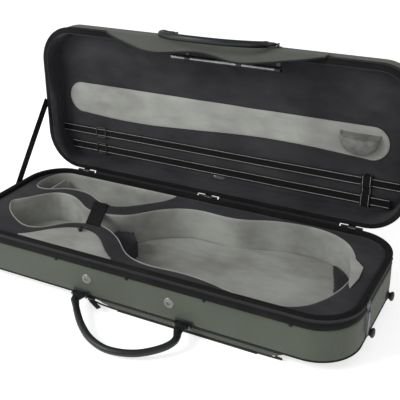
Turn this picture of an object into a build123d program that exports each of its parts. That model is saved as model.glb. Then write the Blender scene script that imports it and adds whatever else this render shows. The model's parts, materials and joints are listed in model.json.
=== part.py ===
from build123d import *

# Oblong violin case, standing open: a padded shell in two halves, hinged along the back.
# Millimetres. +X runs to the tail end, -Y to the front where the handles are, +Z up. The origin is
# the middle of the case on the plane it stands on, which is the flat underside of its pocket.

import os
from math import cos, radians, sin

os.makedirs("parts", exist_ok=True)

# Whole case
LENGTH = 790.0
WIDTH = 306.0
CORNER = 75.0
RIM_HEIGHT = 84.3
COVER_TOP = 60.0
LID_DEPTH = 52.0
LID_BAND = 20.0
OPEN_ANGLE = 91.4

# Pocket under the base, which the case stands on
POCKET_DROP = 18.0
POCKET_HALF_WIDTH = 149.0
POCKET_FLAT_LEFT = -26.0
POCKET_FLAT_RIGHT = 244.0
BINDING_WIDTH = 3.0
BINDING_THICK = 2.0

# Layers of a wall, from outside in, with a hair of clearance between them
CLEAR = 0.1
COVER = 3.0
CORE = 6.0
FLOOR = 5.0
LINING = 2.0
WALL = COVER + CLEAR + CORE

# Interior moulding and its hollows
DECK = 77.3
TRAY_FLOOR = 10.0
CAVITY_FLOOR = 14.0
WELL_FLOOR = 24.0
LINING_STEP = 0.4

# Lid interior, measured out from the rim plane
CEILING = 41.0
PANEL_FACE = 39.6
STRAP_FACE = 36.0
STRAP_THICK = 1.6

# Hinge
HINGE_BACK = 2.0
HINGE_PIN = 0.6
HINGE_KNUCKLE = 1.9
HINGE_PLACES = (-300.0, 0.0, 300.0)
RIM_GAP = 0.4

# Front hardware
STUD_X = 84.0
STUD_HEIGHT = 35.5
STUD_RADIUS = 10.0
STUD_PROUD = 1.5
STUD_HOLE = 3.0
STUD_HOLE_DEPTH = 1.0
RIVET_SPACING = 150.0
RIVET_COUNT = 5
RIVET_RADIUS = 3.2
FLAP_HALF = 225.0
FLAP_THICK = 2.5
FLAP_STANDOFF = 2.0
FLAP_DROOP = 12.5
FOLD_HEIGHT = 1.4

# Handles
HANDLE_CENTRE = 8.0
HANDLE_HALF = 105.0
HANDLE_TUBE = 6.3
HANDLE_STANDOFF = 8.0
HANDLE_NECK = 14.0
RING_BAR = 1.5
TAB_HALF = 12.0
TAB_NARROW = 6.0
TAB_REACH = 24.0
TAB_THICK = 4.0
EYE_RADIUS = 3.4
LUG_OFFSET = 15.0
LUG_HALF = 2.0
LUG_HIGH = 3.0
PATCH_HALF = 18.0

FRONT = -WIDTH / 2
BACK = WIDTH / 2
RIGHT = LENGTH / 2

# The base's planes: its underside, and the same origin facing forwards and sideways.
BASE = Plane.XY.offset(POCKET_DROP)
FACING = Plane(origin=BASE.origin, x_dir=(1, 0, 0), z_dir=(0, -1, 0))
SIDEWAYS = Plane(origin=BASE.origin, x_dir=(0, 1, 0), z_dir=(1, 0, 0))

# The lid's plane carries the coordinates of the closed case, turned open about the hinge.
open_sin = sin(radians(OPEN_ANGLE))
open_cos = cos(radians(OPEN_ANGLE))
hinge_reach = BACK + HINGE_BACK
LID = Plane(
    origin=BASE.from_local_coords(
        (0, hinge_reach * (1 - open_cos), RIM_HEIGHT + hinge_reach * open_sin)
    ),
    x_dir=(1, 0, 0),
    z_dir=(0, open_sin, open_cos),
)


def from_hinge(distance):
    """The lid's own y at a distance from the hinge line."""
    return BACK + HINGE_BACK - distance


def slab(plane, low, high, inset=0.0, round_low=0.0, round_high=0.0):
    """A block of the case's plan, inset from its outline, between two heights of a plane."""
    with BuildPart() as block:
        with BuildSketch(plane.offset(low)):
            RectangleRounded(LENGTH - 2 * inset, WIDTH - 2 * inset, CORNER - inset)
        extrude(amount=high - low)
        along = Axis(plane.origin, plane.z_dir)
        if round_low:
            fillet(block.faces().sort_by(along)[0].edges(), round_low)
        if round_high:
            fillet(block.faces().sort_by(along)[-1].edges(), round_high)
    return block.part


def ring(plane, low, high, outer, inner):
    """A band of the case's plan between two insets."""
    with BuildPart() as band:
        add(slab(plane, low, high, outer))
        add(slab(plane, low - 1, high + 1, inner), mode=Mode.SUBTRACT)
    return band.part


def box(plane, low, high):
    """A plain block between two corners given in a plane's own coordinates."""
    size = [top - bottom for bottom, top in zip(low, high)]
    middle = [(top + bottom) / 2 for bottom, top in zip(low, high)]
    with BuildPart() as block:
        with BuildSketch(plane.offset(low[2])):
            with Locations((middle[0], middle[1])):
                Rectangle(size[0], size[1])
        extrude(amount=size[2])
    return block.part


def save(part, name):
    """Label a finished piece and write it under its node's name."""
    part.label = name
    export_step(part, f"parts/{name}.step")


# ---------------------------------------------------------------- outlines of the interior

INSTRUMENT = (
    (-354, -20), (-334, 5), (-293, 46), (-260, 47), (-231, 34), (-186, 8), (-141, 10), (-108, 23),
    (-77, 56), (-31, 92), (14, 103), (54, 101), (98, 104), (149, 123), (206, 134), (258, 131),
    (305, 108), (338, 58), (350, -4), (336, -76), (303, -122), (258, -137), (205, -136),
    (128, -121), (76, -119), (18, -121), (-34, -102), (-64, -74), (-95, -51), (-132, -37),
    (-170, -43), (-200, -60), (-222, -86), (-258, -100), (-294, -87), (-344, -48),
)

ACCESSORY = (
    (-64, 139), (-74, 113), (-97, 88), (-126, 60), (-163, 45), (-198, 52), (-229, 68), (-262, 74),
    (-296, 68), (-331, 50), (-357, 54), (-365, 84), (-361, 109), (-347, 129), (-322, 139),
)

STORAGE = (
    (-268, -137), (-230, -112), (-204, -84), (-181, -68), (-160, -62), (-134, -63), (-107, -76),
    (-87, -94), (-61, -118), (-28, -137),
)


def inset_curve(points, inset, closed):
    """A curve through points that run clockwise round a hollow, moved in by the inset."""
    curve = Spline(*points, periodic=closed, mode=Mode.PRIVATE)
    count = 2 * len(points)
    moved = []
    for step in range(count if closed else count + 1):
        along = curve.tangent_at(step / count)
        moved.append(curve.position_at(step / count) + Vector(along.Y, -along.X) * inset)
    return Spline(*moved, periodic=closed)


def instrument_outline(height, inset=0.0):
    """The hollow that takes the instrument: scroll, neck and body in one closed curve."""
    with BuildSketch(BASE.offset(height)) as outline:
        with BuildLine():
            inset_curve(INSTRUMENT, inset, closed=True)
        make_face()
    return outline.sketch


def well_outline(points, height, inset=0.0):
    """A hollow whose long straight side closes a curve through points."""
    with BuildSketch(BASE.offset(height)) as outline:
        with BuildLine():
            curve = inset_curve(points, inset, closed=False)
            Line(curve @ 1, curve @ 0)
        make_face()
        if inset:
            Rectangle(LENGTH, 2 * (abs(points[0][1]) - inset), mode=Mode.INTERSECT)
    return outline.sketch


def column(outline, height):
    """An outline raised straight up."""
    with BuildPart() as block:
        extrude(outline, amount=height, dir=(0, 0, 1))
    return block.part


# ---------------------------------------------------------------- base shell

with BuildPart() as base_cover:
    add(slab(BASE, 0, COVER_TOP, round_low=1.0))
    add(slab(BASE, COVER, COVER_TOP + 1, COVER), mode=Mode.SUBTRACT)
    add(ring(BASE, -1, 2.4, -1, 2.4), mode=Mode.SUBTRACT)
save(base_cover.part, "base_cover")

with BuildPart() as base_piping:
    add(ring(BASE, 0, 2.3, -0.8, 2.3))
    fillet(base_piping.edges().group_by(Axis.Z)[0], 0.8)
save(base_piping.part, "base_piping")

with BuildPart() as base_core:
    add(slab(BASE, COVER + CLEAR, RIM_HEIGHT - 1.4, COVER + CLEAR))
    add(slab(BASE, COVER + CLEAR + FLOOR, RIM_HEIGHT, WALL), mode=Mode.SUBTRACT)
save(base_core.part, "base_core")

with BuildPart() as base_rim_binding:
    add(slab(BASE, COVER_TOP + CLEAR, RIM_HEIGHT, round_high=1.2))
    add(slab(BASE, COVER_TOP, RIM_HEIGHT - 1.3, COVER), mode=Mode.SUBTRACT)
    add(slab(BASE, COVER_TOP, RIM_HEIGHT + 1, WALL), mode=Mode.SUBTRACT)
save(base_rim_binding.part, "base_rim_binding")

# The open zip runs round both ends and the front, and stops short of the hinges.
ZIP_PROUD = 1.2
ZIP_HALF = 3.0
ZIP_BASE = 77.0
ZIP_LID = 7.0
ZIP_BACK_STOP = 90.0

with BuildPart() as base_zip_chain:
    add(ring(BASE, ZIP_BASE - ZIP_HALF, ZIP_BASE + ZIP_HALF, -ZIP_PROUD, -0.05))
    add(
        box(BASE, (-LENGTH, ZIP_BACK_STOP, 0), (LENGTH, WIDTH, RIM_HEIGHT)),
        mode=Mode.SUBTRACT,
    )
save(base_zip_chain.part, "base_zip_chain")

with BuildPart() as rim_rivets:
    with BuildSketch(FACING.offset(-FRONT + CLEAR)):
        with Locations((0, COVER_TOP)):
            with GridLocations(RIVET_SPACING, 0, RIVET_COUNT, 1):
                Circle(RIVET_RADIUS)
    extrude(amount=STUD_PROUD)
    fillet(rim_rivets.faces().group_by(Axis.Y)[0].edges(), 0.9)
save(rim_rivets.part, "rim_rivets")

with BuildPart() as snap_studs:
    with BuildSketch(FACING.offset(-FRONT + CLEAR)):
        with Locations((-STUD_X, STUD_HEIGHT), (STUD_X, STUD_HEIGHT)):
            Circle(STUD_RADIUS)
    extrude(amount=STUD_PROUD)
    fillet(snap_studs.faces().group_by(Axis.Y)[0].edges(), 0.8)
    with BuildSketch(FACING.offset(-FRONT + STUD_PROUD)):
        with Locations((-STUD_X, STUD_HEIGHT), (STUD_X, STUD_HEIGHT)):
            Circle(STUD_HOLE)
    extrude(amount=STUD_HOLE_DEPTH, mode=Mode.SUBTRACT)
save(snap_studs.part, "snap_studs")

# Rubber end studs: two on each end, low on the wall
FOOT_RADIUS = 8.5
FOOT_PROUD = 12.0
FOOT_HEIGHT = 11.0
FOOT_FRONT = -48.0
FOOT_BACK = 72.0
with BuildPart() as end_feet:
    for side in (-1, 1):
        with BuildSketch(SIDEWAYS.offset(side * (RIGHT + CLEAR))):
            with Locations((FOOT_FRONT, FOOT_HEIGHT), (FOOT_BACK, FOOT_HEIGHT)):
                Circle(FOOT_RADIUS)
        extrude(amount=side * FOOT_PROUD)
    for group in (0, -1):
        fillet(end_feet.faces().group_by(Axis.X)[group].edges(), 2.5)
save(end_feet.part, "end_feet")

# ---------------------------------------------------------------- interior moulding and linings

with BuildPart() as interior_tray:
    add(slab(BASE, TRAY_FLOOR, DECK, WALL + CLEAR, round_high=3.0))
    add(column(instrument_outline(CAVITY_FLOOR - LINING), DECK), mode=Mode.SUBTRACT)
    for points in (ACCESSORY, STORAGE):
        add(column(well_outline(points, WELL_FLOOR - LINING), DECK), mode=Mode.SUBTRACT)
save(interior_tray.part, "interior_tray")

with BuildPart() as instrument_lining:
    outer = instrument_outline(CAVITY_FLOOR - LINING + CLEAR, CLEAR)
    add(column(outer, DECK - CAVITY_FLOOR + LINING))
    add(column(instrument_outline(CAVITY_FLOOR, LINING), DECK), mode=Mode.SUBTRACT)
save(instrument_lining.part, "instrument_lining")

with BuildPart() as accessory_lining:
    outer = well_outline(ACCESSORY, WELL_FLOOR - LINING + CLEAR, CLEAR)
    add(column(outer, DECK - WELL_FLOOR + LINING))
    add(column(well_outline(ACCESSORY, WELL_FLOOR, LINING), DECK), mode=Mode.SUBTRACT)
save(accessory_lining.part, "accessory_lining")

STORAGE_LID_THICK = 2.4
STORAGE_LID_GAP = 0.6
STORAGE_LID_LEFT = -252.0
STORAGE_LID_RIGHT = -44.0
storage_lid_bottom = DECK - STORAGE_LID_THICK
with BuildPart() as storage_lining:
    outer = well_outline(STORAGE, WELL_FLOOR - LINING + CLEAR, CLEAR)
    add(column(outer, storage_lid_bottom - WELL_FLOOR + LINING - 2 * CLEAR))
    add(column(well_outline(STORAGE, WELL_FLOOR, LINING), DECK), mode=Mode.SUBTRACT)
save(storage_lining.part, "storage_lining")

DIVIDER_PLACE = (-338, 92)
DIVIDER_THICK = 3.0
DIVIDER_LENGTH = 68.0
DIVIDER_BELOW_DECK = 12.0
with BuildPart() as accessory_divider:
    with BuildSketch(BASE.offset(WELL_FLOOR + CLEAR)):
        with Locations(DIVIDER_PLACE):
            Rectangle(DIVIDER_THICK, DIVIDER_LENGTH)
    extrude(amount=DECK - WELL_FLOOR - DIVIDER_BELOW_DECK)
save(accessory_divider.part, "accessory_divider")

with BuildPart() as storage_lid:
    add(column(well_outline(STORAGE, storage_lid_bottom, STORAGE_LID_GAP), STORAGE_LID_THICK))
    # Its two pointed ends are blunted, so that they lift clear of the deck.
    add(
        box(BASE, (STORAGE_LID_LEFT, FRONT, storage_lid_bottom), (STORAGE_LID_RIGHT, 0, DECK)),
        mode=Mode.INTERSECT,
    )
save(storage_lid.part, "storage_lid")

KNOB_PLACE = (-152, -72)
KNOB_STEM = 3.0
KNOB_HEAD = 5.5
KNOB_STEM_TALL = 4.0
KNOB_HEAD_TALL = 5.0
with BuildPart() as storage_lid_knob:
    with BuildSketch(BASE.offset(DECK + CLEAR)):
        with Locations(KNOB_PLACE):
            Circle(KNOB_STEM)
    extrude(amount=KNOB_STEM_TALL)
    with BuildSketch(BASE.offset(DECK + KNOB_STEM_TALL)):
        with Locations(KNOB_PLACE):
            Circle(KNOB_HEAD)
    extrude(amount=KNOB_HEAD_TALL)
    fillet(storage_lid_knob.faces().sort_by(Axis.Z)[-1].edges(), 2.0)
save(storage_lid_knob.part, "storage_lid_knob")

STRAP_BACK = 42.0
STRAP_FRONT = -43.0
with BuildPart() as neck_strap:
    with BuildSketch(BASE.offset(DECK + LINING_STEP)):
        with BuildLine():
            Polyline(
                (-201, STRAP_BACK),
                (-168, STRAP_BACK),
                (-128, STRAP_FRONT),
                (-161, STRAP_FRONT),
                close=True,
            )
        make_face()
    extrude(amount=2.4)
save(neck_strap.part, "neck_strap")

PAD_TOP = 50.0
with BuildPart() as neck_pad:
    with BuildSketch(BASE.offset(CAVITY_FLOOR + CLEAR)):
        with BuildLine():
            Polyline((-122, 4), (-88, 12), (-62, -16), (-56, -90), (-140, -90), close=True)
        make_face()
    extrude(amount=PAD_TOP - CAVITY_FLOOR)
    add(column(instrument_outline(CAVITY_FLOOR, LINING + 0.5), DECK), mode=Mode.INTERSECT)
save(neck_pad.part, "neck_pad")

TAIL_PAD_THICK = 6.0
with BuildPart() as tail_pad:
    inner = instrument_outline(CAVITY_FLOOR + CLEAR, LINING + 0.5)
    add(column(inner, TAIL_PAD_THICK))
    with BuildSketch(BASE.offset(CAVITY_FLOOR)):
        with BuildLine():
            edge = Spline((276, 140), (300, 60), (312, 0), (300, -72), (284, -140))
            Polyline(edge @ 1, (370, -140), (370, 140), edge @ 0)
        make_face()
    extrude(amount=PAD_TOP, mode=Mode.INTERSECT)
save(tail_pad.part, "tail_pad")

with BuildPart() as tail_tab:
    with BuildSketch(BASE.offset(DECK + LINING_STEP)):
        with BuildLine():
            Polyline(
                (325, 62), (337, 56), (359, 32), (362, -4), (358, -40), (352, -28), (341, 18), close=True
            )
        make_face()
    extrude(amount=1.6)
save(tail_tab.part, "tail_tab")

# ---------------------------------------------------------------- pocket under the base

with BuildPart() as bottom_pocket:
    with BuildSketch(FACING.offset(-POCKET_HALF_WIDTH)):
        with BuildLine():
            Polyline(
                (-95, -0.3),
                (-84, -4),
                (POCKET_FLAT_LEFT - 8, -POCKET_DROP + 0.6),
                (POCKET_FLAT_LEFT, -POCKET_DROP),
                (POCKET_FLAT_RIGHT, -POCKET_DROP),
                (POCKET_FLAT_RIGHT + 16, -POCKET_DROP + 1.6),
                (POCKET_FLAT_RIGHT + 32, -POCKET_DROP + 6),
                (288, -6),
                (295, -0.3),
                close=True,
            )
        make_face()
    extrude(amount=2 * POCKET_HALF_WIDTH)
    # A step all round the flat underside, which the binding fills.
    with BuildSketch(Plane.XY):
        with Locations(((POCKET_FLAT_LEFT + POCKET_FLAT_RIGHT) / 2, 0)):
            Rectangle(LENGTH, WIDTH)
            Rectangle(
                POCKET_FLAT_RIGHT - POCKET_FLAT_LEFT - 2 * (BINDING_WIDTH + CLEAR),
                2 * (POCKET_HALF_WIDTH - BINDING_WIDTH - CLEAR),
                mode=Mode.SUBTRACT,
            )
    extrude(amount=BINDING_THICK + CLEAR, mode=Mode.SUBTRACT)
save(bottom_pocket.part, "bottom_pocket")

with BuildPart() as pocket_binding:
    for side in (-1, 1):
        with BuildSketch(Plane.XY):
            with Locations(
                (
                    (POCKET_FLAT_LEFT + POCKET_FLAT_RIGHT) / 2,
                    side * (POCKET_HALF_WIDTH - BINDING_WIDTH / 2),
                )
            ):
                Rectangle(POCKET_FLAT_RIGHT - POCKET_FLAT_LEFT, BINDING_WIDTH)
            with Locations(
                (
                    (POCKET_FLAT_LEFT + POCKET_FLAT_RIGHT) / 2
                    + side * (POCKET_FLAT_RIGHT - POCKET_FLAT_LEFT - BINDING_WIDTH) / 2,
                    0,
                )
            ):
                Rectangle(BINDING_WIDTH, 2 * (POCKET_HALF_WIDTH - BINDING_WIDTH - CLEAR))
        extrude(amount=BINDING_THICK)
save(pocket_binding.part, "pocket_binding")

with BuildPart() as pocket_zip:
    add(
        box(
            BASE,
            (-86, -POCKET_HALF_WIDTH - 1.3, -3.2),
            (286, -POCKET_HALF_WIDTH - CLEAR, -0.4),
        )
    )
save(pocket_zip.part, "pocket_zip")

with BuildPart() as pocket_zip_pull:
    add(box(BASE, (-83, FRONT - 3.6, -6.0), (-71, FRONT + 2.5, -0.5)))
    with BuildSketch(BASE.offset(-7.2)):
        with Locations((-64, FRONT - 9)):
            Rectangle(30, 8, rotation=-28)
    extrude(amount=2.2)
    add(box(BASE, (-79, FRONT - 3.6, -7.2), (-73, FRONT - 0.5, -5.8)))
save(pocket_zip_pull.part, "pocket_zip_pull")

# ---------------------------------------------------------------- lid shell

with BuildPart() as lid_cover:
    add(slab(LID, LID_BAND, LID_DEPTH, round_high=8.0))
    add(slab(LID, LID_BAND - 1, LID_DEPTH - COVER, COVER, round_high=5.0), mode=Mode.SUBTRACT)
save(lid_cover.part, "lid_cover")

with BuildPart() as lid_core:
    add(slab(LID, 1.7, LID_DEPTH - COVER - CLEAR, COVER + CLEAR, round_high=5.0))
    add(slab(LID, 0, LID_DEPTH - COVER - CLEAR - FLOOR, WALL), mode=Mode.SUBTRACT)
save(lid_core.part, "lid_core")

with BuildPart() as lid_rim_binding:
    add(slab(LID, RIM_GAP, LID_BAND - CLEAR, round_low=1.2))
    add(slab(LID, 1.6, LID_BAND, COVER), mode=Mode.SUBTRACT)
    add(slab(LID, -1, LID_BAND, WALL), mode=Mode.SUBTRACT)
save(lid_rim_binding.part, "lid_rim_binding")

with BuildPart() as lid_zip_chain:
    add(ring(LID, ZIP_LID - ZIP_HALF, ZIP_LID + ZIP_HALF, -ZIP_PROUD, -0.05))
    add(box(LID, (-LENGTH, ZIP_BACK_STOP, -1), (LENGTH, WIDTH, LID_DEPTH)), mode=Mode.SUBTRACT)
save(lid_zip_chain.part, "lid_zip_chain")

LINER_WALL = 2.4
ceiling_back = LID_DEPTH - COVER - 2 * CLEAR - FLOOR
with BuildPart() as lid_liner:
    add(slab(LID, 1.0, ceiling_back, WALL + CLEAR))
    add(slab(LID, 0, CEILING, WALL + LINER_WALL, round_high=12.0), mode=Mode.SUBTRACT)
save(lid_liner.part, "lid_liner")

# ---------------------------------------------------------------- lid interior

panel_top = from_hinge(185)
with BuildPart() as bow_panel:
    with BuildSketch(LID.offset(PANEL_FACE)):
        with BuildLine():
            lower = Spline(
                (-326, from_hinge(119)),
                (-283, from_hinge(116)),
                (-156, from_hinge(114)),
                (-38, from_hinge(121)),
                (72, from_hinge(128)),
                (216, from_hinge(127)),
                (312, from_hinge(121)),
            )
            tail = ThreePointArc(lower @ 1, (344, from_hinge(150)), (316, panel_top))
            Line(tail @ 1, (-326, panel_top))
            ThreePointArc((-326, panel_top), (-359, from_hinge(152)), lower @ 0)
        make_face()
    extrude(amount=CEILING - PANEL_FACE - CLEAR)
save(bow_panel.part, "bow_panel")

POCKET_LEFT, POCKET_RIGHT = 252, 328
POCKET_FACE = 22.0
pocket_top = from_hinge(170)


def bow_pocket_outline(height, inset):
    """A half-moon, straight along its mouth and round below."""
    with BuildSketch(LID.offset(height)) as outline:
        with BuildLine():
            left = (POCKET_LEFT + inset, pocket_top)
            right = (POCKET_RIGHT - inset, pocket_top)
            Line(left, right)
            Line(right, (POCKET_RIGHT - inset, from_hinge(158)))
            ThreePointArc(
                (POCKET_RIGHT - inset, from_hinge(158)),
                ((POCKET_LEFT + POCKET_RIGHT) / 2, from_hinge(128 + inset)),
                (POCKET_LEFT + inset, from_hinge(158)),
            )
            Line((POCKET_LEFT + inset, from_hinge(158)), left)
        make_face()
    return outline.sketch


with BuildPart() as bow_tip_pocket:
    extrude(bow_pocket_outline(POCKET_FACE, 0), amount=PANEL_FACE - POCKET_FACE - CLEAR)
    extrude(
        bow_pocket_outline(POCKET_FACE + 3, 3), amount=PANEL_FACE, mode=Mode.SUBTRACT
    )
save(bow_tip_pocket.part, "bow_tip_pocket")


def lid_strap(low, high, half_length):
    """A webbing strap across the lid, between two distances from the hinge."""
    corner_low = (-half_length, from_hinge(high), STRAP_FACE)
    corner_high = (half_length, from_hinge(low), STRAP_FACE + STRAP_THICK)
    return box(LID, corner_low, corner_high)


save(lid_strap(71, 88, 379), "bow_strap_upper")
save(lid_strap(34, 52, 358), "bow_strap_lower")


def adjuster(low, high, place):
    """A sliding buckle: a flat frame closed round the strap."""
    with BuildPart() as frame:
        add(
            box(
                LID,
                (place - 13, from_hinge(high) - 4, STRAP_FACE - 1.4),
                (place + 13, from_hinge(low) + 4, STRAP_FACE + 3.4),
            )
        )
        add(
            box(
                LID,
                (place - 14, from_hinge(high) - 0.3, STRAP_FACE - 0.2),
                (place + 14, from_hinge(low) + 0.3, STRAP_FACE + STRAP_THICK + 0.2),
            ),
            mode=Mode.SUBTRACT,
        )
    return frame.part


save(adjuster(71, 88, -280), "adjuster_upper")
save(adjuster(34, 52, -280), "adjuster_lower")

SLEEVE_LEFT, SLEEVE_RIGHT = 300, 320
with BuildPart() as strap_sleeve:
    add(
        box(
            LID,
            (SLEEVE_LEFT, from_hinge(94), STRAP_FACE - 2.4),
            (SLEEVE_RIGHT, from_hinge(28), STRAP_FACE - 0.4),
        )
    )
    for low, high in ((28, 32), (57, 65), (90, 94)):
        add(
            box(
                LID,
                (SLEEVE_LEFT, from_hinge(high), STRAP_FACE - 0.5),
                (SLEEVE_RIGHT, from_hinge(low), CEILING - CLEAR),
            )
        )
save(strap_sleeve.part, "strap_sleeve")

with BuildPart() as name_plate:
    with BuildSketch(LID.offset(CEILING - 1.6)):
        with Locations((5, from_hinge(27.5))):
            Ellipse(13, 3.4)
    extrude(amount=1.5)
save(name_plate.part, "name_plate")

# Humidifier tube held by three clips under the front rim
TUBE_AT = from_hinge(276)
TUBE_HEIGHT = 8.0
TUBE_RADIUS = 5.0
CLIP_PLACES = (-48, 60, 138)
tube_plane = Plane(
    origin=LID.from_local_coords((0, TUBE_AT, TUBE_HEIGHT)), x_dir=LID.y_dir, z_dir=(1, 0, 0)
)
with BuildPart() as humidifier_tube:
    with BuildSketch(tube_plane.offset(-84)):
        Circle(TUBE_RADIUS)
    extrude(amount=216)
save(humidifier_tube.part, "humidifier_tube")

liner_front = FRONT + WALL + LINER_WALL
with BuildPart() as tube_clips:
    for place in CLIP_PLACES:
        with BuildSketch(tube_plane.offset(place - 5)):
            Circle(TUBE_RADIUS + 1.5)
            with Locations(((liner_front - TUBE_AT) / 2 + 0.2, 0)):
                Rectangle(TUBE_AT - liner_front - 0.2, 5)
            Circle(TUBE_RADIUS + CLEAR, mode=Mode.SUBTRACT)
        extrude(amount=10)
save(tube_clips.part, "tube_clips")

# ---------------------------------------------------------------- lid flap

HEM_THICK = 2.0
HEM_STANDOFF = 1.4
with BuildPart() as flap_hem:
    add(
        box(
            LID,
            (-FLAP_HALF, FRONT - HEM_STANDOFF - HEM_THICK, FOLD_HEIGHT + 0.4),
            (FLAP_HALF, FRONT - HEM_STANDOFF, LID_BAND + 4),
        )
    )
save(flap_hem.part, "flap_hem")

fold_y = FRONT - FLAP_STANDOFF - FLAP_THICK / 2
droop = radians(FLAP_DROOP)
flap_down = LID.from_local_coords((0, fold_y + sin(droop), FOLD_HEIGHT - cos(droop)))
fold_origin = LID.from_local_coords((0, fold_y, FOLD_HEIGHT))
FLAP = Plane(
    origin=fold_origin,
    x_dir=(1, 0, 0),
    z_dir=Vector(1, 0, 0).cross((flap_down - fold_origin).normalized()),
)
SOCKET_REACH = RIM_HEIGHT + FOLD_HEIGHT - STUD_HEIGHT
FLAP_EDGE = (
    (-FLAP_HALF, 5), (-205, 18), (-150, 44), (-84, 64), (-38, 52), (0, 44), (38, 52), (84, 64),
    (150, 44), (205, 18), (FLAP_HALF, 5),
)
with BuildPart() as lid_flap:
    with BuildSketch(FLAP.offset(-FLAP_THICK / 2)):
        with BuildLine():
            edge = Spline(*FLAP_EDGE)
            Polyline(edge @ 1, (FLAP_HALF, 1), (-FLAP_HALF, 1), edge @ 0)
        make_face()
        with Locations((-STUD_X, SOCKET_REACH), (STUD_X, SOCKET_REACH)):
            Circle(STUD_RADIUS - 1 + CLEAR, mode=Mode.SUBTRACT)
    extrude(amount=FLAP_THICK)
save(lid_flap.part, "lid_flap")

with BuildPart() as flap_sockets:
    with BuildSketch(FLAP.offset(-FLAP_THICK / 2 - 0.3)):
        with Locations((-STUD_X, SOCKET_REACH), (STUD_X, SOCKET_REACH)):
            Circle(STUD_RADIUS - 1)
    extrude(amount=FLAP_THICK + 0.6)
save(flap_sockets.part, "flap_sockets")

# ---------------------------------------------------------------- carrying handles


def handle_plane(pivot, direction):
    """The plane a handle lies in: x along the case, y from the pivot towards the grip."""
    return Plane(origin=pivot, x_dir=(1, 0, 0), z_dir=Vector(1, 0, 0).cross(direction))


def handle(plane, spine):
    """A round grip along a spine, with a flat tab and an eye for its bar at each end."""
    tab_ends = (-HANDLE_HALF, HANDLE_HALF)
    with BuildPart() as grip:
        with BuildSketch(Plane(origin=spine @ 0, z_dir=spine % 0)):
            Circle(HANDLE_TUBE)
        sweep(path=spine)
        with BuildSketch(plane.offset(-TAB_THICK / 2)):
            for place in tab_ends:
                with Locations((place, 0)):
                    Polygon(
                        (-TAB_HALF, 0),
                        (TAB_HALF, 0),
                        (TAB_NARROW, TAB_REACH),
                        (-TAB_NARROW, TAB_REACH),
                        align=None,
                    )
        extrude(amount=TAB_THICK)
        for place in tab_ends:
            start = plane.from_local_coords((place - TAB_HALF, 0, 0))
            with BuildSketch(Plane(origin=start, z_dir=(1, 0, 0))):
                Circle(EYE_RADIUS)
            extrude(amount=2 * TAB_HALF)
        for place in tab_ends:
            start = plane.from_local_coords((place - 2 * TAB_HALF, 0, 0))
            with BuildSketch(Plane(origin=start, z_dir=(1, 0, 0))):
                Circle(RING_BAR + CLEAR)
            extrude(amount=4 * TAB_HALF, mode=Mode.SUBTRACT)
    return grip.part


def handle_anchors(plane, pivot_height, low, high):
    """Two sewn tabs on the front wall, each holding a bar between two lugs."""
    with BuildPart() as anchors:
        for place in (HANDLE_CENTRE - HANDLE_HALF, HANDLE_CENTRE + HANDLE_HALF):
            add(
                box(
                    plane,
                    (place - PATCH_HALF, FRONT - 3, low),
                    (place + PATCH_HALF, FRONT - 0.9, high),
                )
            )
            for side in (-LUG_OFFSET, LUG_OFFSET):
                add(
                    box(
                        plane,
                        (place + side - LUG_HALF, FRONT - HANDLE_STANDOFF - LUG_HIGH, pivot_height - LUG_HIGH),
                        (place + side + LUG_HALF, FRONT - 2, pivot_height + LUG_HIGH),
                    )
                )
            bar_start = plane.from_local_coords(
                (place - LUG_OFFSET, FRONT - HANDLE_STANDOFF, pivot_height)
            )
            with BuildSketch(Plane(origin=bar_start, z_dir=(1, 0, 0))):
                Circle(RING_BAR)
            extrude(amount=2 * LUG_OFFSET)
    return anchors.part


BASE_PIVOT = 4.0
# The grip lies a little skewed, pushed towards the tail.
BASE_SPINE = (
    (HANDLE_HALF, HANDLE_NECK),
    (112, 38),
    (99, 64),
    (66, 90),
    (22, 100),
    (-18, 90),
    (-52, 68),
    (-82, 40),
    (-HANDLE_HALF, HANDLE_NECK),
)
BASE_SLOPE = 6.0
base_grip_way = Vector(0, -cos(radians(BASE_SLOPE)), -sin(radians(BASE_SLOPE)))
base_pivot = BASE.from_local_coords((HANDLE_CENTRE, FRONT - HANDLE_STANDOFF, BASE_PIVOT))
base_grip_plane = handle_plane(base_pivot, base_grip_way)
with BuildLine(base_grip_plane) as base_spine:
    Spline(*BASE_SPINE)
save(handle(base_grip_plane, base_spine.line), "base_handle")
save(handle_anchors(BASE, BASE_PIVOT, 0.2, 11), "base_handle_anchors")

# The lid's grip lies over the lid's front wall, which faces up while the case is open.
LID_PIVOT = 27.0
LID_TILT = 9.0
LID_SPINE = ((HANDLE_HALF, HANDLE_NECK), (104, 34), (88, 60), (50, 82), (0, 88))
lid_pivot = LID.from_local_coords((HANDLE_CENTRE, FRONT - HANDLE_STANDOFF, LID_PIVOT))
lid_grip_way = -LID.z_dir * cos(radians(LID_TILT)) - LID.y_dir * sin(radians(LID_TILT))
lid_grip_plane = handle_plane(lid_pivot, lid_grip_way)
with BuildLine(lid_grip_plane) as lid_spine:
    Spline(*LID_SPINE, *[(-across, out) for across, out in reversed(LID_SPINE[:-1])])
save(handle(lid_grip_plane, lid_spine.line), "lid_handle")
save(handle_anchors(LID, LID_PIVOT, LID_PIVOT - 2.5, LID_PIVOT + 12), "lid_handle_anchors")

# ---------------------------------------------------------------- hinges


LEAF_HALF = 21.0
LEAF_REACH = 18.0
LEAF_NOTCH = 5.4
LEAF_BACK = BACK + 0.05
LEAF_THICK = 0.8
FINGER_HALF = 7.0


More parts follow.
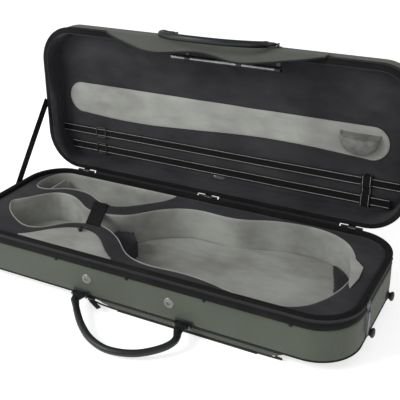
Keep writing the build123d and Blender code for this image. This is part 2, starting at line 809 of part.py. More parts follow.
def hinge_leaves(plane, pivot_height, side, fingers):
    """Leaves on a back wall, to one side of the pivot, with fingers rolled round the pin."""
    notch = sorted((pivot_height + side * LEAF_NOTCH, pivot_height + side * LEAF_REACH))
    reach = sorted((pivot_height, pivot_height + side * LEAF_REACH))
    with BuildPart() as leaves:
        for place in HINGE_PLACES:
            for (start, end), (low, high) in [((-LEAF_HALF, LEAF_HALF), notch)] + [
                (finger, reach) for finger in fingers
            ]:
                corner_low = (place + start, LEAF_BACK, low)
                corner_high = (place + end, LEAF_BACK + LEAF_THICK, high)
                add(box(plane, corner_low, corner_high))
            for start, end in fingers:
                knuckle_start = plane.from_local_coords(
                    (place + start, BACK + HINGE_BACK, pivot_height)
                )
                with BuildSketch(Plane(origin=knuckle_start, z_dir=(1, 0, 0))):
                    Circle(HINGE_KNUCKLE)
                    Circle(HINGE_PIN + 0.05, mode=Mode.SUBTRACT)
                extrude(amount=end - start)
    return leaves.part


outer_fingers = ((-LEAF_HALF, -FINGER_HALF - 0.2), (FINGER_HALF + 0.2, LEAF_HALF))
save(hinge_leaves(BASE, RIM_HEIGHT, -1, outer_fingers), "base_hinge_leaves")
save(hinge_leaves(LID, 0, 1, ((-FINGER_HALF, FINGER_HALF),)), "lid_hinge_leaves")

with BuildPart() as hinge_pins:
    for place in HINGE_PLACES:
        pin_start = BASE.from_local_coords((place - LEAF_HALF, BACK + HINGE_BACK, RIM_HEIGHT))
        with BuildSketch(Plane(origin=pin_start, z_dir=(1, 0, 0))):
            Circle(HINGE_PIN)
        extrude(amount=2 * LEAF_HALF)
save(hinge_pins.part, "hinge_pins")

# Cloth sewn to both back walls between the hinges, bent over the gap while the lid is open
COVER_ENDS = ((-276.0, -24.0), (24.0, 276.0))
CLOTH_THICK = 0.8
with BuildPart() as hinge_cover:
    for start, end in COVER_ENDS:
        cloth_back = BACK + CLEAR + CLOTH_THICK
        gap_top = RIM_HEIGHT + HINGE_BACK - 2 * CLEAR
        add(box(BASE, (start, BACK + CLEAR, RIM_HEIGHT - 12), (end, cloth_back, gap_top)))
        add(box(LID, (start, BACK + CLEAR, CLOTH_THICK - HINGE_BACK), (end, cloth_back, 10)))
save(hinge_cover.part, "hinge_cover")

# ---------------------------------------------------------------- zip slider and its pull

SLIDER_Y = -70.0
SLIDER_FACE = RIGHT + ZIP_PROUD + 0.2
PULL_X = SLIDER_FACE + 4.0
PULL_Z = 64.0
PULL_LENGTH = 43.0
with BuildPart() as zip_slider:
    add(
        box(
            BASE,
            (SLIDER_FACE, SLIDER_Y - 6, ZIP_BASE - 6),
            (SLIDER_FACE + 2, SLIDER_Y + 6, ZIP_BASE + 6),
        )
    )
    for side in (-4.5, 4.5):
        add(
            box(
                BASE,
                (SLIDER_FACE, SLIDER_Y + side - 1.2, PULL_Z - 2.5),
                (PULL_X + 2.5, SLIDER_Y + side + 1.2, ZIP_BASE),
            )
        )
    with BuildSketch(FACING.offset(-SLIDER_Y - 4.5)):
        with Locations((PULL_X, PULL_Z)):
            Circle(1.0)
    extrude(amount=9)
save(zip_slider.part, "zip_slider")

with BuildPart() as zip_pull:
    with BuildSketch(FACING.offset(-SLIDER_Y - 3)):
        with Locations((PULL_X, PULL_Z)):
            Circle(2.2)
        with Locations((PULL_X, PULL_Z - 5)):
            Rectangle(2, 10)
        with Locations((PULL_X, PULL_Z)):
            Circle(1.1, mode=Mode.SUBTRACT)
    extrude(amount=6)
    add(
        box(
            BASE,
            (PULL_X - 1, SLIDER_Y - 5.5, PULL_Z - PULL_LENGTH),
            (PULL_X + 1, SLIDER_Y + 5.5, PULL_Z - 9),
        )
    )
save(zip_pull.part, "zip_pull")

# ---------------------------------------------------------------- stay ribbon at the scroll end

RIBBON_WIDTH = 17.0
RIBBON_FACE = RIGHT + ZIP_PROUD + 0.6
ribbon_low = BASE.from_local_coords((0, 25, 70))
ribbon_high = LID.from_local_coords((0, from_hinge(140), 12))
ribbon_way = (ribbon_high - ribbon_low).normalized()
ribbon_side = Vector(0, ribbon_way.Z, -ribbon_way.Y) * (RIBBON_WIDTH / 2)
with BuildPart() as stay_ribbon:
    with BuildSketch(Plane.YZ.offset(-RIBBON_FACE - 1.2)):
        with BuildLine():
            corners = (
                ribbon_low + ribbon_side,
                ribbon_high + ribbon_side,
                ribbon_high - ribbon_side,
                ribbon_low - ribbon_side,
            )
            Polyline(*[(corner.Y, corner.Z) for corner in corners], close=True)
        make_face()
    extrude(amount=1.2)
save(stay_ribbon.part, "stay_ribbon")
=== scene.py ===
"""The looks of an oblong violin case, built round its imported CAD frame. Metres, +Z up."""

import json
from math import cos, pi, radians, sin

import bpy
import numpy as np
from mathutils import Matrix, Vector, noise
from mathutils.geometry import delaunay_2d_cdt


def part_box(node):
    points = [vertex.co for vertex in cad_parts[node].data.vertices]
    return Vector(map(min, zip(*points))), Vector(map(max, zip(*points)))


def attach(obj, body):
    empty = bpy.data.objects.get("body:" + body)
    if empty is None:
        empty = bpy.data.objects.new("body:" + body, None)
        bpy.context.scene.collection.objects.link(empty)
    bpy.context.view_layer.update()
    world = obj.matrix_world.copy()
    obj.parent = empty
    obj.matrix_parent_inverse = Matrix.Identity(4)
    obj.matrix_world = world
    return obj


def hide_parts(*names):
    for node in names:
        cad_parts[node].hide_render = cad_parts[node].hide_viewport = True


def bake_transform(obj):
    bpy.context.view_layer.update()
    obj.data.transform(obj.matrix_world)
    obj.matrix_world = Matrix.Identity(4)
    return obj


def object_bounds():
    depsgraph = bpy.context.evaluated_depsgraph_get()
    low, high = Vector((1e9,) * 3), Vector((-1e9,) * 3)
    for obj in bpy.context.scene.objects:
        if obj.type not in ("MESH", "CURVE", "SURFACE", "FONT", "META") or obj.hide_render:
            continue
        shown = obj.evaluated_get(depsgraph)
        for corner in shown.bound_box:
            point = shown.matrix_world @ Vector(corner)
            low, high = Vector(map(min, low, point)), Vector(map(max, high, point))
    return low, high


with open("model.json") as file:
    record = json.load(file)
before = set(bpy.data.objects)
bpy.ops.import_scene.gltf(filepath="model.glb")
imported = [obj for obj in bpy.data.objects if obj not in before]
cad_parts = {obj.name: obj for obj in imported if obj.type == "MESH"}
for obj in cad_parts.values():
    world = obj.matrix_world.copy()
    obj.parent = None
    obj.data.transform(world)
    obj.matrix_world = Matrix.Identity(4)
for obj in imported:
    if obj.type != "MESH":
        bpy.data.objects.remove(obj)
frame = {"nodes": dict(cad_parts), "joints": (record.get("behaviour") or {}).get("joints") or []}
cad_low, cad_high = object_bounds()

MM = 0.001

# ------------------------------------------------------------------ what the frame says

joints = {joint["name"]: joint for joint in frame["joints"]}
hinge = Vector(joints["lid_hinge"]["pos_m"])
open_angle = radians(-joints["lid_hinge"]["range_deg"][0])
OPEN = (
    Matrix.Translation(hinge) @ Matrix.Rotation(-open_angle, 4, "X") @ Matrix.Translation(-hinge)
)
CLOSED = OPEN.inverted()

cover_low, cover_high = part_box("base_cover")
HALF_LENGTH = cover_high.x
HALF_WIDTH = cover_high.y
UNDERSIDE = cover_low.z
COVER_TOP = cover_high.z
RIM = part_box("base_rim_binding")[1].z
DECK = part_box("interior_tray")[1].z


def node_points(node, matrix=Matrix.Identity(4)):
    """A CAD node's vertices as rows, after a matrix."""
    points = np.array([matrix @ vertex.co for vertex in frame["nodes"][node].data.vertices])
    return points


def closed_box(node):
    """A lid node's lowest and highest corners with the case shut."""
    points = node_points(node, CLOSED)
    return Vector(points.min(0)), Vector(points.max(0))


flat_side = node_points("base_cover")
flat_side = flat_side[np.abs(flat_side[:, 1] - HALF_WIDTH) < 1e-5]
CORNER = HALF_LENGTH - flat_side[:, 0].max()

# ------------------------------------------------------------------ mesh helpers


def make_object(name, vertices, faces, crease=40):
    """A smooth-shaded mesh object, sharp only where faces meet at more than the crease angle."""
    mesh = bpy.data.meshes.new(name)
    mesh.from_pydata([tuple(vertex) for vertex in vertices], [], [tuple(face) for face in faces])
    mesh.validate()
    mesh.shade_smooth()
    mesh.set_sharp_from_angle(angle=radians(crease))
    obj = bpy.data.objects.new(name, mesh)
    bpy.context.scene.collection.objects.link(obj)
    return obj


def settle(obj, material, body, replaces=(), shut=False):
    """Give a piece its material, its body and the CAD nodes it stands for."""
    if shut:
        obj.data.transform(OPEN)
    obj.data.materials.clear()
    obj.data.materials.append(material)
    if body:
        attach(obj, body)
    if replaces:
        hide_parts(*replaces)
    return obj


def loft_faces(ring_count, size, wrap, start=0):
    """Quads between neighbouring rings of points."""
    faces = []
    for ring in range(ring_count if wrap else ring_count - 1):
        after = (ring + 1) % ring_count
        for step in range(size):
            following = (step + 1) % size
            faces.append(
                (
                    start + ring * size + step,
                    start + ring * size + following,
                    start + after * size + following,
                    start + after * size + step,
                )
            )
    return faces


def loft(name, rings, wrap=False, caps=(True, True), crease=40):
    """A skin over rings of points; wrap closes the last ring to the first, else ends are capped."""
    size = len(rings[0])
    vertices = np.concatenate([np.asarray(ring, float) for ring in rings])
    faces = loft_faces(len(rings), size, wrap)
    if not wrap and caps[0]:
        faces.append(tuple(reversed(range(size))))
    if not wrap and caps[1]:
        last = (len(rings) - 1) * size
        faces.append(tuple(range(last, last + size)))
    return make_object(name, vertices, faces, crease)


def join(name, objects):
    """Several meshes as one object."""
    vertices, faces = [], []
    for obj in objects:
        start = len(vertices)
        vertices.extend(obj.matrix_world @ vertex.co for vertex in obj.data.vertices)
        faces.extend([start + index for index in face.vertices] for face in obj.data.polygons)
        bpy.data.objects.remove(obj)
    return make_object(name, vertices, faces)


CORNER_STEPS = 16
LONG_STEPS = 72
SHORT_STEPS = 16


def plan(inset, height, wobble=None):
    """A ring on the case's plan, counterclockwise from above, inset from the outside."""
    radius = max(CORNER - inset, 2 * MM)
    across = HALF_LENGTH - inset - radius
    along = HALF_WIDTH - inset - radius
    corners = ((across, -along, -90), (across, along, 0), (-across, along, 90), (-across, -along, 180))
    points = []
    for index, (x, y, start) in enumerate(corners):
        for step in range(CORNER_STEPS):
            angle = radians(start + 90 * step / CORNER_STEPS)
            points.append((x + radius * cos(angle), y + radius * sin(angle)))
        angle = radians(start + 90)
        leave = np.array((x + radius * cos(angle), y + radius * sin(angle)))
        next_x, next_y, next_start = corners[(index + 1) % 4]
        angle = radians(next_start)
        arrive = np.array((next_x + radius * cos(angle), next_y + radius * sin(angle)))
        steps = LONG_STEPS if index % 2 else SHORT_STEPS
        for step in range(steps):
            points.append(tuple(leave + (arrive - leave) * step / steps))
    points = np.array(points)
    ring = np.column_stack([points, np.full(len(points), height)])
    if wobble:
        ring = np.array([wobble(Vector(point)) for point in ring])
    return ring


def plan_loft(name, profile, wrap=False, caps=(True, True), crease=40, wobble=None):
    """A skin round the case's plan over a profile of (inset, height) pairs."""
    rings = [plan(inset, height, wobble) for inset, height in profile]
    return loft(name, rings, wrap, caps, crease)


def arc_profile(centre, radius, start, end, steps):
    """Points of an arc in the profile's (inset, height) plane."""
    return [
        (
            centre[0] + radius * cos(radians(start + (end - start) * step / steps)),
            centre[1] + radius * sin(radians(start + (end - start) * step / steps)),
        )
        for step in range(steps + 1)
    ]


def soften(point, size, depth, seed=0.0):
    """A small smooth random shift, the same each run."""
    return noise.noise(Vector(point) / size + Vector((seed, seed, seed))) * depth


def outlines(node, matrix=Matrix.Identity(4), side=1):
    """The flat top's (side 1) or bottom's (side -1) boundary loops of a CAD node, longest first."""
    mesh = frame["nodes"][node].data
    points = node_points(node, matrix)
    level = (points[:, 2] * side).max()
    keys = [tuple(np.round(point[:2], 6)) for point in points]
    count = {}
    for face in mesh.polygons:
        if all(abs(points[index][2] * side - level) < 2e-5 for index in face.vertices):
            for first, second in face.edge_keys:
                pair = frozenset((keys[first], keys[second]))
                if len(pair) == 2:
                    count[pair] = count.get(pair, 0) + 1
    beside = {}
    for pair, uses in count.items():
        if uses == 1:
            first, second = tuple(pair)
            beside.setdefault(first, []).append(second)
            beside.setdefault(second, []).append(first)
    loops, seen = [], set()
    for start in sorted(beside):
        if start in seen:
            continue
        loop, here, before = [start], start, None
        while True:
            seen.add(here)
            following = [key for key in beside[here] if key != before and key not in seen]
            if not following:
                break
            before, here = here, following[0]
            loop.append(here)
        loops.append(np.array(loop))
    return sorted(loops, key=lambda loop: -np.linalg.norm(np.diff(loop, axis=0), axis=1).sum())


def resample(loop, spacing):
    """A closed loop as evenly spaced points, counterclockwise."""
    area = np.sum(loop[:, 0] * np.roll(loop[:, 1], -1) - np.roll(loop[:, 0], -1) * loop[:, 1])
    if area < 0:
        loop = loop[::-1]
    ends = np.vstack([loop, loop[:1]])
    distance = np.concatenate([[0], np.cumsum(np.linalg.norm(np.diff(ends, axis=0), axis=1))])
    count = int(distance[-1] / spacing)
    marks = np.linspace(0, distance[-1], count, endpoint=False)
    return np.column_stack([np.interp(marks, distance, ends[:, axis]) for axis in (0, 1)])


def outward(loop):
    """Unit normals that point out of a counterclockwise loop."""
    along = np.roll(loop, -1, axis=0) - np.roll(loop, 1, axis=0)
    along /= np.linalg.norm(along, axis=1)[:, None] + 1e-12
    return np.column_stack([along[:, 1], -along[:, 0]])


def gap_to(points, loop):
    """The distance from each point to the nearest edge of a loop."""
    best = np.full(len(points), 1e9)
    for first, second in zip(loop, np.roll(loop, -1, axis=0)):
        edge = second - first
        share = np.clip(((points - first) @ edge) / max(edge @ edge, 1e-18), 0, 1)
        best = np.minimum(best, np.linalg.norm(points - first - share[:, None] * edge, axis=1))
    return best


def inside(points, loop):
    """Which points lie inside a loop."""
    hits = np.zeros(len(points), bool)
    for first, second in zip(loop, np.roll(loop, -1, axis=0)):
        crosses = (first[1] > points[:, 1]) != (second[1] > points[:, 1])
        rise = second[1] - first[1]
        reach = (second[0] - first[0]) * (points[:, 1] - first[1]) / (rise if rise else 1e-12)
        hits ^= crosses & (points[:, 0] < reach + first[0])
    return hits


def fill(outer, holes, spacing, margins=()):
    """Triangles over a flat region; margins adds rows of points along every edge."""
    loops = [outer] + list(holes)
    low, high = outer.min(0), outer.max(0)
    columns = np.arange(low[0] + spacing / 2, high[0], spacing)
    rows = np.arange(low[1] + spacing / 2, high[1], spacing)
    grid = np.array([(x + (index % 2) * spacing / 2, y) for index, y in enumerate(rows) for x in columns])
    spare = [(grid, spacing * 0.6)]
    for margin in margins:
        for index, loop in enumerate(loops):
            sign = -1 if index == 0 else 1
            spare.append((loop + sign * margin * outward(loop), margin * 0.9))
    kept = []
    for points, clearance in spare:
        good = inside(points, outer) & (gap_to(points, outer) > clearance)
        for hole in holes:
            good &= ~inside(points, hole) & (gap_to(points, hole) > clearance)
        kept.append(points[good])
    edges, vertices = [], []
    for loop in loops:
        start = len(vertices)
        size = len(loop)
        vertices.extend(Vector(point) for point in loop)
        edges.extend((start + step, start + (step + 1) % size) for step in range(size))
    for points in kept:
        vertices.extend(Vector(point) for point in points)
    made = delaunay_2d_cdt(vertices, edges, [], 1, 1e-7)
    points = np.array([tuple(point) for point in made[0]])
    faces = np.array([face for face in made[2] if len(face) == 3])
    middles = points[faces].mean(axis=1)
    good = inside(middles, outer)
    for hole in holes:
        good &= ~inside(middles, hole)
    return points, faces[good]


def flat_piece(name, outer, holes, spacing, height, back, margins=(), down=False):
    """A filled region whose face follows height(points), with side walls down to a flat back.

    Down turns it over, so that the face looks down at minus the height.
    """
    points, faces = fill(outer, holes, spacing, margins)
    top = np.column_stack([points, height(points)])
    bottom = np.column_stack([points, np.full(len(points), back)])
    count = len(points)
    skin = [tuple(face) for face in faces]
    under = [tuple(count + index for index in reversed(face)) for face in skin]
    uses = {}
    for first, second, third in skin:
        for edge in ((first, second), (second, third), (third, first)):
            uses[edge] = True
    walls = [
        (edge[1], edge[0], count + edge[0], count + edge[1])
        for edge in uses
        if (edge[1], edge[0]) not in uses
    ]
    piece = make_object(name, np.vstack([top, bottom]), skin + under + walls)
    if down:
        piece.data.transform(Matrix.Scale(-1, 4, (0, 0, 1)))
        piece.data.flip_normals()
    return piece


def sweep(name, path, section, up, closed=False, scale=None):
    """A section of (side, up) points carried along a path of points."""
    path = [Vector(point) for point in path]
    rings = []
    for index, point in enumerate(path):
        if closed:
            before, after = path[index - 1], path[(index + 1) % len(path)]
        else:
            before, after = path[max(index - 1, 0)], path[min(index + 1, len(path) - 1)]
        along = (after - before).normalized()
        local_up = up(point) if callable(up) else Vector(up)
        side = along.cross(local_up).normalized()
        rise = side.cross(along)
        grow = scale(index / (len(path) - 1)) if scale else (1, 1)
        rings.append([point + side * (a * grow[0]) + rise * (b * grow[1]) for a, b in section])
    return loft(name, rings, wrap=closed)


def oval(half_width, half_height, steps=16, power=1.0):
    """An oval section; a power below 1 squares it off."""
    points = []
    for step in range(steps):
        angle = 2 * pi * step / steps
        a, b = cos(angle), sin(angle)
        points.append(
            (
                half_width * abs(a) ** power * (1 if a >= 0 else -1),
                half_height * abs(b) ** power * (1 if b >= 0 else -1),
            )
        )
    return points


def turned(name, profile, centre, axis, steps=40, stretch=1.0):
    """A turned piece: (radius, height) pairs round an axis."""
    axis = Vector(axis).normalized()
    side = axis.orthogonal().normalized()
    other = axis.cross(side)
    rings = []
    for radius, height in profile:
        ring = []
        for step in range(steps):
            angle = 2 * pi * step / steps
            ring.append(
                Vector(centre)
                + axis * height
                + side * (radius * cos(angle) * stretch)
                + other * (radius * sin(angle))
            )
        rings.append(ring)
    return loft(name, rings, crease=35)


def block(name, low, high, bevel, segments=3):
    """A block between two corners with rounded edges."""
    low, high = Vector(low), Vector(high)
    corners = [
        (x, y, z) for z in (low.z, high.z) for x, y in
        ((low.x, low.y), (high.x, low.y), (high.x, high.y), (low.x, high.y))
    ]
    faces = [(3, 2, 1, 0), (4, 5, 6, 7), (0, 1, 5, 4), (1, 2, 6, 5), (2, 3, 7, 6), (3, 0, 4, 7)]
    obj = make_object(name, corners, faces)
    round_edges(obj, bevel, segments)
    return obj


def round_edges(obj, width, segments=3):
    """Bevel the sharp edges and apply it."""
    modifier = obj.modifiers.new("round", "BEVEL")
    modifier.width = width
    modifier.segments = segments
    modifier.limit_method = "ANGLE"
    modifier.angle_limit = radians(35)
    apply_modifiers(obj)


def apply_modifiers(obj):
    """Replace a piece's mesh by its finished one."""
    graph = bpy.context.evaluated_depsgraph_get()
    finished = bpy.data.meshes.new_from_object(obj.evaluated_get(graph))
    obj.modifiers.clear()
    obj.data = finished
    obj.data.shade_smooth()
    obj.data.set_sharp_from_angle(angle=radians(40))


def stitches(name, places, length, radius):
    """Short raised threads, one at each (point, direction)."""
    vertices, faces = [], []
    sides = 6
    stations = ((-0.5, 0.35), (-0.3, 1.0), (0.3, 1.0), (0.5, 0.35))
    for point, direction in places:
        point, direction = Vector(point), Vector(direction).normalized()
        side = direction.orthogonal().normalized()
        other = direction.cross(side)
        start = len(vertices)
        for share, swell in stations:
            for step in range(sides):
                angle = 2 * pi * step / sides
                spoke = side * cos(angle) + other * sin(angle)
                vertices.append(point + direction * (share * length) + spoke * (radius * swell))
        faces.extend(loft_faces(len(stations), sides, False, start))
        faces.append(tuple(start + index for index in reversed(range(sides))))
        last = start + (len(stations) - 1) * sides
        faces.append(tuple(range(last, last + sides)))
    return make_object(name, vertices, faces)


def along_line(first, second, pitch):
    """(point, direction) pairs at a pitch along a line."""
    first, second = Vector(first), Vector(second)
    way = second - first
    count = int(way.length / pitch)
    return [(first + way * ((step + 0.5) / count), way) for step in range(count)]


def inflate(obj, voxel, pressure, cap, steps=20):
    """Puff a closed mesh up by cloth simulation and keep the result, moved by at most the cap."""
    remesh = obj.modifiers.new("voxels", "REMESH")
    remesh.mode = "VOXEL"
    remesh.voxel_size = voxel
    apply_modifiers(obj)
    before = np.array([vertex.co for vertex in obj.data.vertices])
    cloth = obj.modifiers.new("puff", "CLOTH")
    cloth.settings.use_pressure = True
    cloth.settings.uniform_pressure_force = pressure
    cloth.settings.tension_stiffness = 20
    cloth.settings.compression_stiffness = 20
    cloth.settings.bending_stiffness = 2
    cloth.settings.effector_weights.gravity = 0
    cloth.point_cache.frame_start = 1
    cloth.point_cache.frame_end = steps
    for step in range(1, steps + 1):
        bpy.context.scene.frame_set(step)
    graph = bpy.context.evaluated_depsgraph_get()
    finished = bpy.data.meshes.new_from_object(obj.evaluated_get(graph))
    obj.modifiers.clear()
    bpy.context.scene.frame_set(1)
    after = np.array([vertex.co for vertex in finished.vertices])
    shift = after - before
    far = np.linalg.norm(shift, axis=1)[:, None]
    shift *= np.minimum(1, cap / np.maximum(far, 1e-9))
    obj.data.vertices.foreach_set("co", (before + shift).ravel())
    obj.data.update()
    smooth = obj.modifiers.new("smooth", "SUBSURF")
    smooth.levels = 1
    smooth.render_levels = 1
    apply_modifiers(obj)
    return obj


# ------------------------------------------------------------------ materials


class Shader:
    """A material's node tree, with short calls for the nodes used here."""

    def __init__(self, name, roughness, metallic=0.0, sheen=0.0, sheen_roughness=0.4):
        self.material = bpy.data.materials.new(name)
        self.material.use_nodes = True
        self.nodes = self.material.node_tree.nodes
        self.links = self.material.node_tree.links
        self.surface = self.nodes["Principled BSDF"]
        self.surface.inputs["Roughness"].default_value = roughness
        self.surface.inputs["Metallic"].default_value = metallic
        self.surface.inputs["Sheen Weight"].default_value = sheen
        if sheen:
            self.surface.inputs["Specular IOR Level"].default_value = 0.2
        self.surface.inputs["Sheen Roughness"].default_value = sheen_roughness
        self.place = self.nodes.new("ShaderNodeTexCoord").outputs["Object"]

    def put(self, value, socket):
        """Set a socket from a number or from another socket."""
        if isinstance(value, (int, float, tuple)):
            socket.default_value = value
        else:
            self.links.new(value, socket)

    def math(self, operation, first, second=0.0):
        node = self.nodes.new("ShaderNodeMath")
        node.operation = operation
        self.put(first, node.inputs[0])
        self.put(second, node.inputs[1])
        return node.outputs[0]

    def noise(self, scale, detail=3.0, stretch=(1.0, 1.0, 1.0), roughness=0.5):
        """Noise over the piece; the scale is in features per metre."""
        mapping = self.nodes.new("ShaderNodeMapping")
        mapping.inputs["Scale"].default_value = stretch
        self.links.new(self.place, mapping.inputs["Vector"])
        node = self.nodes.new("ShaderNodeTexNoise")
        node.inputs["Scale"].default_value = scale
        node.inputs["Detail"].default_value = detail
        node.inputs["Roughness"].default_value = roughness
        self.links.new(mapping.outputs["Vector"], node.inputs["Vector"])
        return node.outputs["Fac"]

    def weave(self, pitch):
        """Crossed threads on whichever plane the surface lies in, from -1 to 1."""
        split = self.nodes.new("ShaderNodeSeparateXYZ")
        self.links.new(self.place, split.inputs[0])
        normal = self.nodes.new("ShaderNodeSeparateXYZ")
        self.links.new(self.nodes.new("ShaderNodeTexCoord").outputs["Normal"], normal.inputs[0])
        waves = []
        for axis in range(3):
            turns = self.math("MULTIPLY", split.outputs[axis], 2 * pi / pitch)
            waves.append(self.math("SINE", turns))
        total = 0.0
        for axis, (first, second) in enumerate(((1, 2), (0, 2), (0, 1))):
            share = self.math("MULTIPLY", normal.outputs[axis], normal.outputs[axis])
            crossed = self.math("MULTIPLY", waves[first], waves[second])
            total = self.math("ADD", total, self.math("MULTIPLY", share, crossed))
        return total

    def ramp(self, value, *stops):
        """Colours along a value from 0 to 1."""
        node = self.nodes.new("ShaderNodeValToRGB")
        elements = node.color_ramp.elements
        while len(elements) < len(stops):
            elements.new(0.5)
        for element, (position, colour) in zip(elements, stops):
            element.position = position
            element.color = (*colour, 1.0)
        self.links.new(value, node.inputs[0])
        return node.outputs[0]

    def mix(self, share, first, second, blend="MIX"):
        node = self.nodes.new("ShaderNodeMix")
        node.data_type = "RGBA"
        node.blend_type = blend
        self.put(share, node.inputs["Factor"])
        self.put(first, node.inputs["A"])
        self.put(second, node.inputs["B"])
        return node.outputs["Result"]

    def colour(self, value):
        self.put(value, self.surface.inputs["Base Color"])

    def bump(self, height, distance, strength=1.0):
        """Raise the surface by a height times a distance in metres, over any bump already there."""
        node = self.nodes.new("ShaderNodeBump")
        node.inputs["Strength"].default_value = strength
        node.inputs["Distance"].default_value = distance
        self.links.new(height, node.inputs["Height"])
        earlier = self.surface.inputs["Normal"].links
        if earlier:
            self.links.new(earlier[0].from_socket, node.inputs["Normal"])
        self.links.new(node.outputs[0], self.surface.inputs["Normal"])


def tint(colour, factor):
    """A colour made lighter or darker."""
    return tuple(min(1.0, channel * factor) for channel in colour)


def canvas(name, colour, pitch=1.1 * MM):
    """Tightly woven cover cloth with faint slubs and shading."""
    shader = Shader(name, 0.82, sheen=0.25)
    patches = shader.ramp(shader.noise(9, 4), (0.3, tint(colour, 0.88)), (0.7, tint(colour, 1.1)))
    threads = shader.weave(pitch)
    lift = shader.math("MULTIPLY_ADD", threads, 0.5)
    shade = shader.ramp(lift, (0.0, (0.8, 0.8, 0.8)), (1.0, (1.08, 1.08, 1.08)))
    shader.colour(shader.mix(0.6, patches, shade, "MULTIPLY"))
    shader.bump(shader.noise(900, 2), 0.05 * MM)
    shader.bump(threads, 0.12 * MM)
    return shader.material


def velvet(name, dark, light, patch=7.0, stretch=(1.0, 1.0, 1.0), sheen=0.5):
    """Short pile whose nap lies different ways in soft patches and brushed streaks."""
    shader = Shader(name, 0.95, sheen=sheen, sheen_roughness=0.35)
    broad = shader.noise(patch, 2, stretch)
    streaks = shader.noise(patch * 5, 4, (0.6, 1.4, 1.4), 0.6)
    nap = shader.math("ADD", shader.math("MULTIPLY", broad, 0.65), shader.math("MULTIPLY", streaks, 0.35))
    rubbed = shader.ramp(shader.noise(patch * 2.5, 3, (0.7, 1.2, 1.2)), (0.36, (0.86,) * 3), (0.5, (1.0,) * 3))
    shader.colour(shader.mix(1.0, shader.ramp(nap, (0.33, dark), (0.66, light)), rubbed, "MULTIPLY"))
    shader.bump(shader.noise(700, 3), 0.12 * MM)
    shader.bump(streaks, 0.5 * MM, 0.5)
    return shader.material


def webbing(name, colour, pitch=1.6 * MM):
    """Ribbed woven band."""
    shader = Shader(name, 0.65, sheen=0.03)
    ribs = shader.weave(pitch)
    shade = shader.math("MULTIPLY_ADD", ribs, 0.5)
    shader.colour(shader.ramp(shade, (0.0, tint(colour, 0.6)), (1.0, tint(colour, 1.5))))
    shader.bump(ribs, 0.25 * MM)
    return shader.material


def leather(name, colour):
    """Smooth grained leather, a little glossy and worn lighter in patches."""
    shader = Shader(name, 0.42)
    pores = shader.nodes.new("ShaderNodeTexVoronoi")
    pores.inputs["Scale"].default_value = 900
    shader.links.new(shader.place, pores.inputs["Vector"])
    worn = shader.noise(25, 5)
    shader.colour(shader.ramp(worn, (0.3, tint(colour, 0.7)), (0.75, tint(colour, 1.7))))
    shader.put(shader.ramp(worn, (0.3, (0.36,) * 3), (0.8, (0.55,) * 3)), shader.surface.inputs["Roughness"])
    shader.bump(pores.outputs["Distance"], 0.12 * MM, 0.6)
    return shader.material


def metal(name, colour, roughness, scratch=0.25):
    """Satin metal with fine drawn lines and slight tarnish."""
    shader = Shader(name, roughness, metallic=1.0)
    lines = shader.noise(400, 3, (0.15, 1.0, 1.0))
    tarnish = shader.noise(60, 4)
    shader.colour(shader.ramp(tarnish, (0.35, tint(colour, 0.75)), (0.7, colour)))
    low, high = roughness * (1 - scratch), roughness * (1 + scratch)
    shader.put(shader.ramp(lines, (0.3, (low,) * 3), (0.7, (high,) * 3)), shader.surface.inputs["Roughness"])
    shader.bump(lines, 0.02 * MM, 0.5)
    return shader.material


def moulded(name, colour, roughness=0.45):
    """Moulded plastic or rubber with a fine orange-peel surface."""
    shader = Shader(name, roughness)
    grain = shader.noise(500, 3)
    shader.colour(shader.ramp(shader.noise(40, 3), (0.3, tint(colour, 0.8)), (0.7, tint(colour, 1.3))))
    shader.bump(grain, 0.06 * MM, 0.6)
    return shader.material


def board(name, colour):
    """Laminated wood board with grain."""
    shader = Shader(name, 0.6)
    grain = shader.noise(60, 6, (0.1, 1.0, 3.0))
    shader.colour(shader.ramp(grain, (0.3, tint(colour, 0.7)), (0.7, tint(colour, 1.2))))
    shader.bump(grain, 0.1 * MM)
    return shader.material


GREEN = canvas("green_canvas", (0.088, 0.100, 0.078))
BINDING = webbing("black_binding", (0.016, 0.016, 0.018))
TAPE = webbing("zip_tape", (0.013, 0.013, 0.015), 0.9 * MM)
CHARCOAL = velvet("charcoal_velvet", (0.022, 0.0215, 0.025), (0.048, 0.047, 0.053), sheen=0.15)
RIM_CLOTH = velvet("rim_cloth", (0.005, 0.005, 0.0055), (0.012, 0.012, 0.0125), patch=15.0, sheen=0.05)
GREY = velvet("grey_velvet", (0.255, 0.26, 0.24), (0.42, 0.43, 0.40), patch=7.0, sheen=0.25)
STRAP = webbing("black_webbing", (0.0035, 0.0035, 0.0035))
POUCH_GREY = velvet("pouch_velvet", (0.11, 0.112, 0.105), (0.24, 0.245, 0.23), patch=30.0, sheen=0.25)
LEATHER = leather("handle_leather", (0.0035, 0.0055, 0.0065))
THREAD = canvas("white_thread", (0.75, 0.75, 0.72), 0.5 * MM)
BLACK_THREAD = canvas("black_thread", (0.02, 0.02, 0.022), 0.5 * MM)
NICKEL = metal("satin_nickel", (0.46, 0.46, 0.44), 0.38)
WORN_NICKEL = metal("worn_nickel", (0.27, 0.27, 0.26), 0.5)
BLACK_METAL = metal("black_metal", (0.03, 0.03, 0.032), 0.4)
GUNMETAL = metal("gunmetal", (0.16, 0.16, 0.17), 0.34)
STEEL = metal("hinge_steel", (0.06, 0.06, 0.062), 0.45)
ALUMINIUM = metal("tube_metal", (0.33, 0.33, 0.35), 0.32)
BLACK_PLASTIC = moulded("black_plastic", (0.014, 0.014, 0.015), 0.4)
RUBBER = moulded("foot_rubber", (0.012, 0.012, 0.012), 0.55)
BOARD = board("core_board", (0.40, 0.29, 0.18))

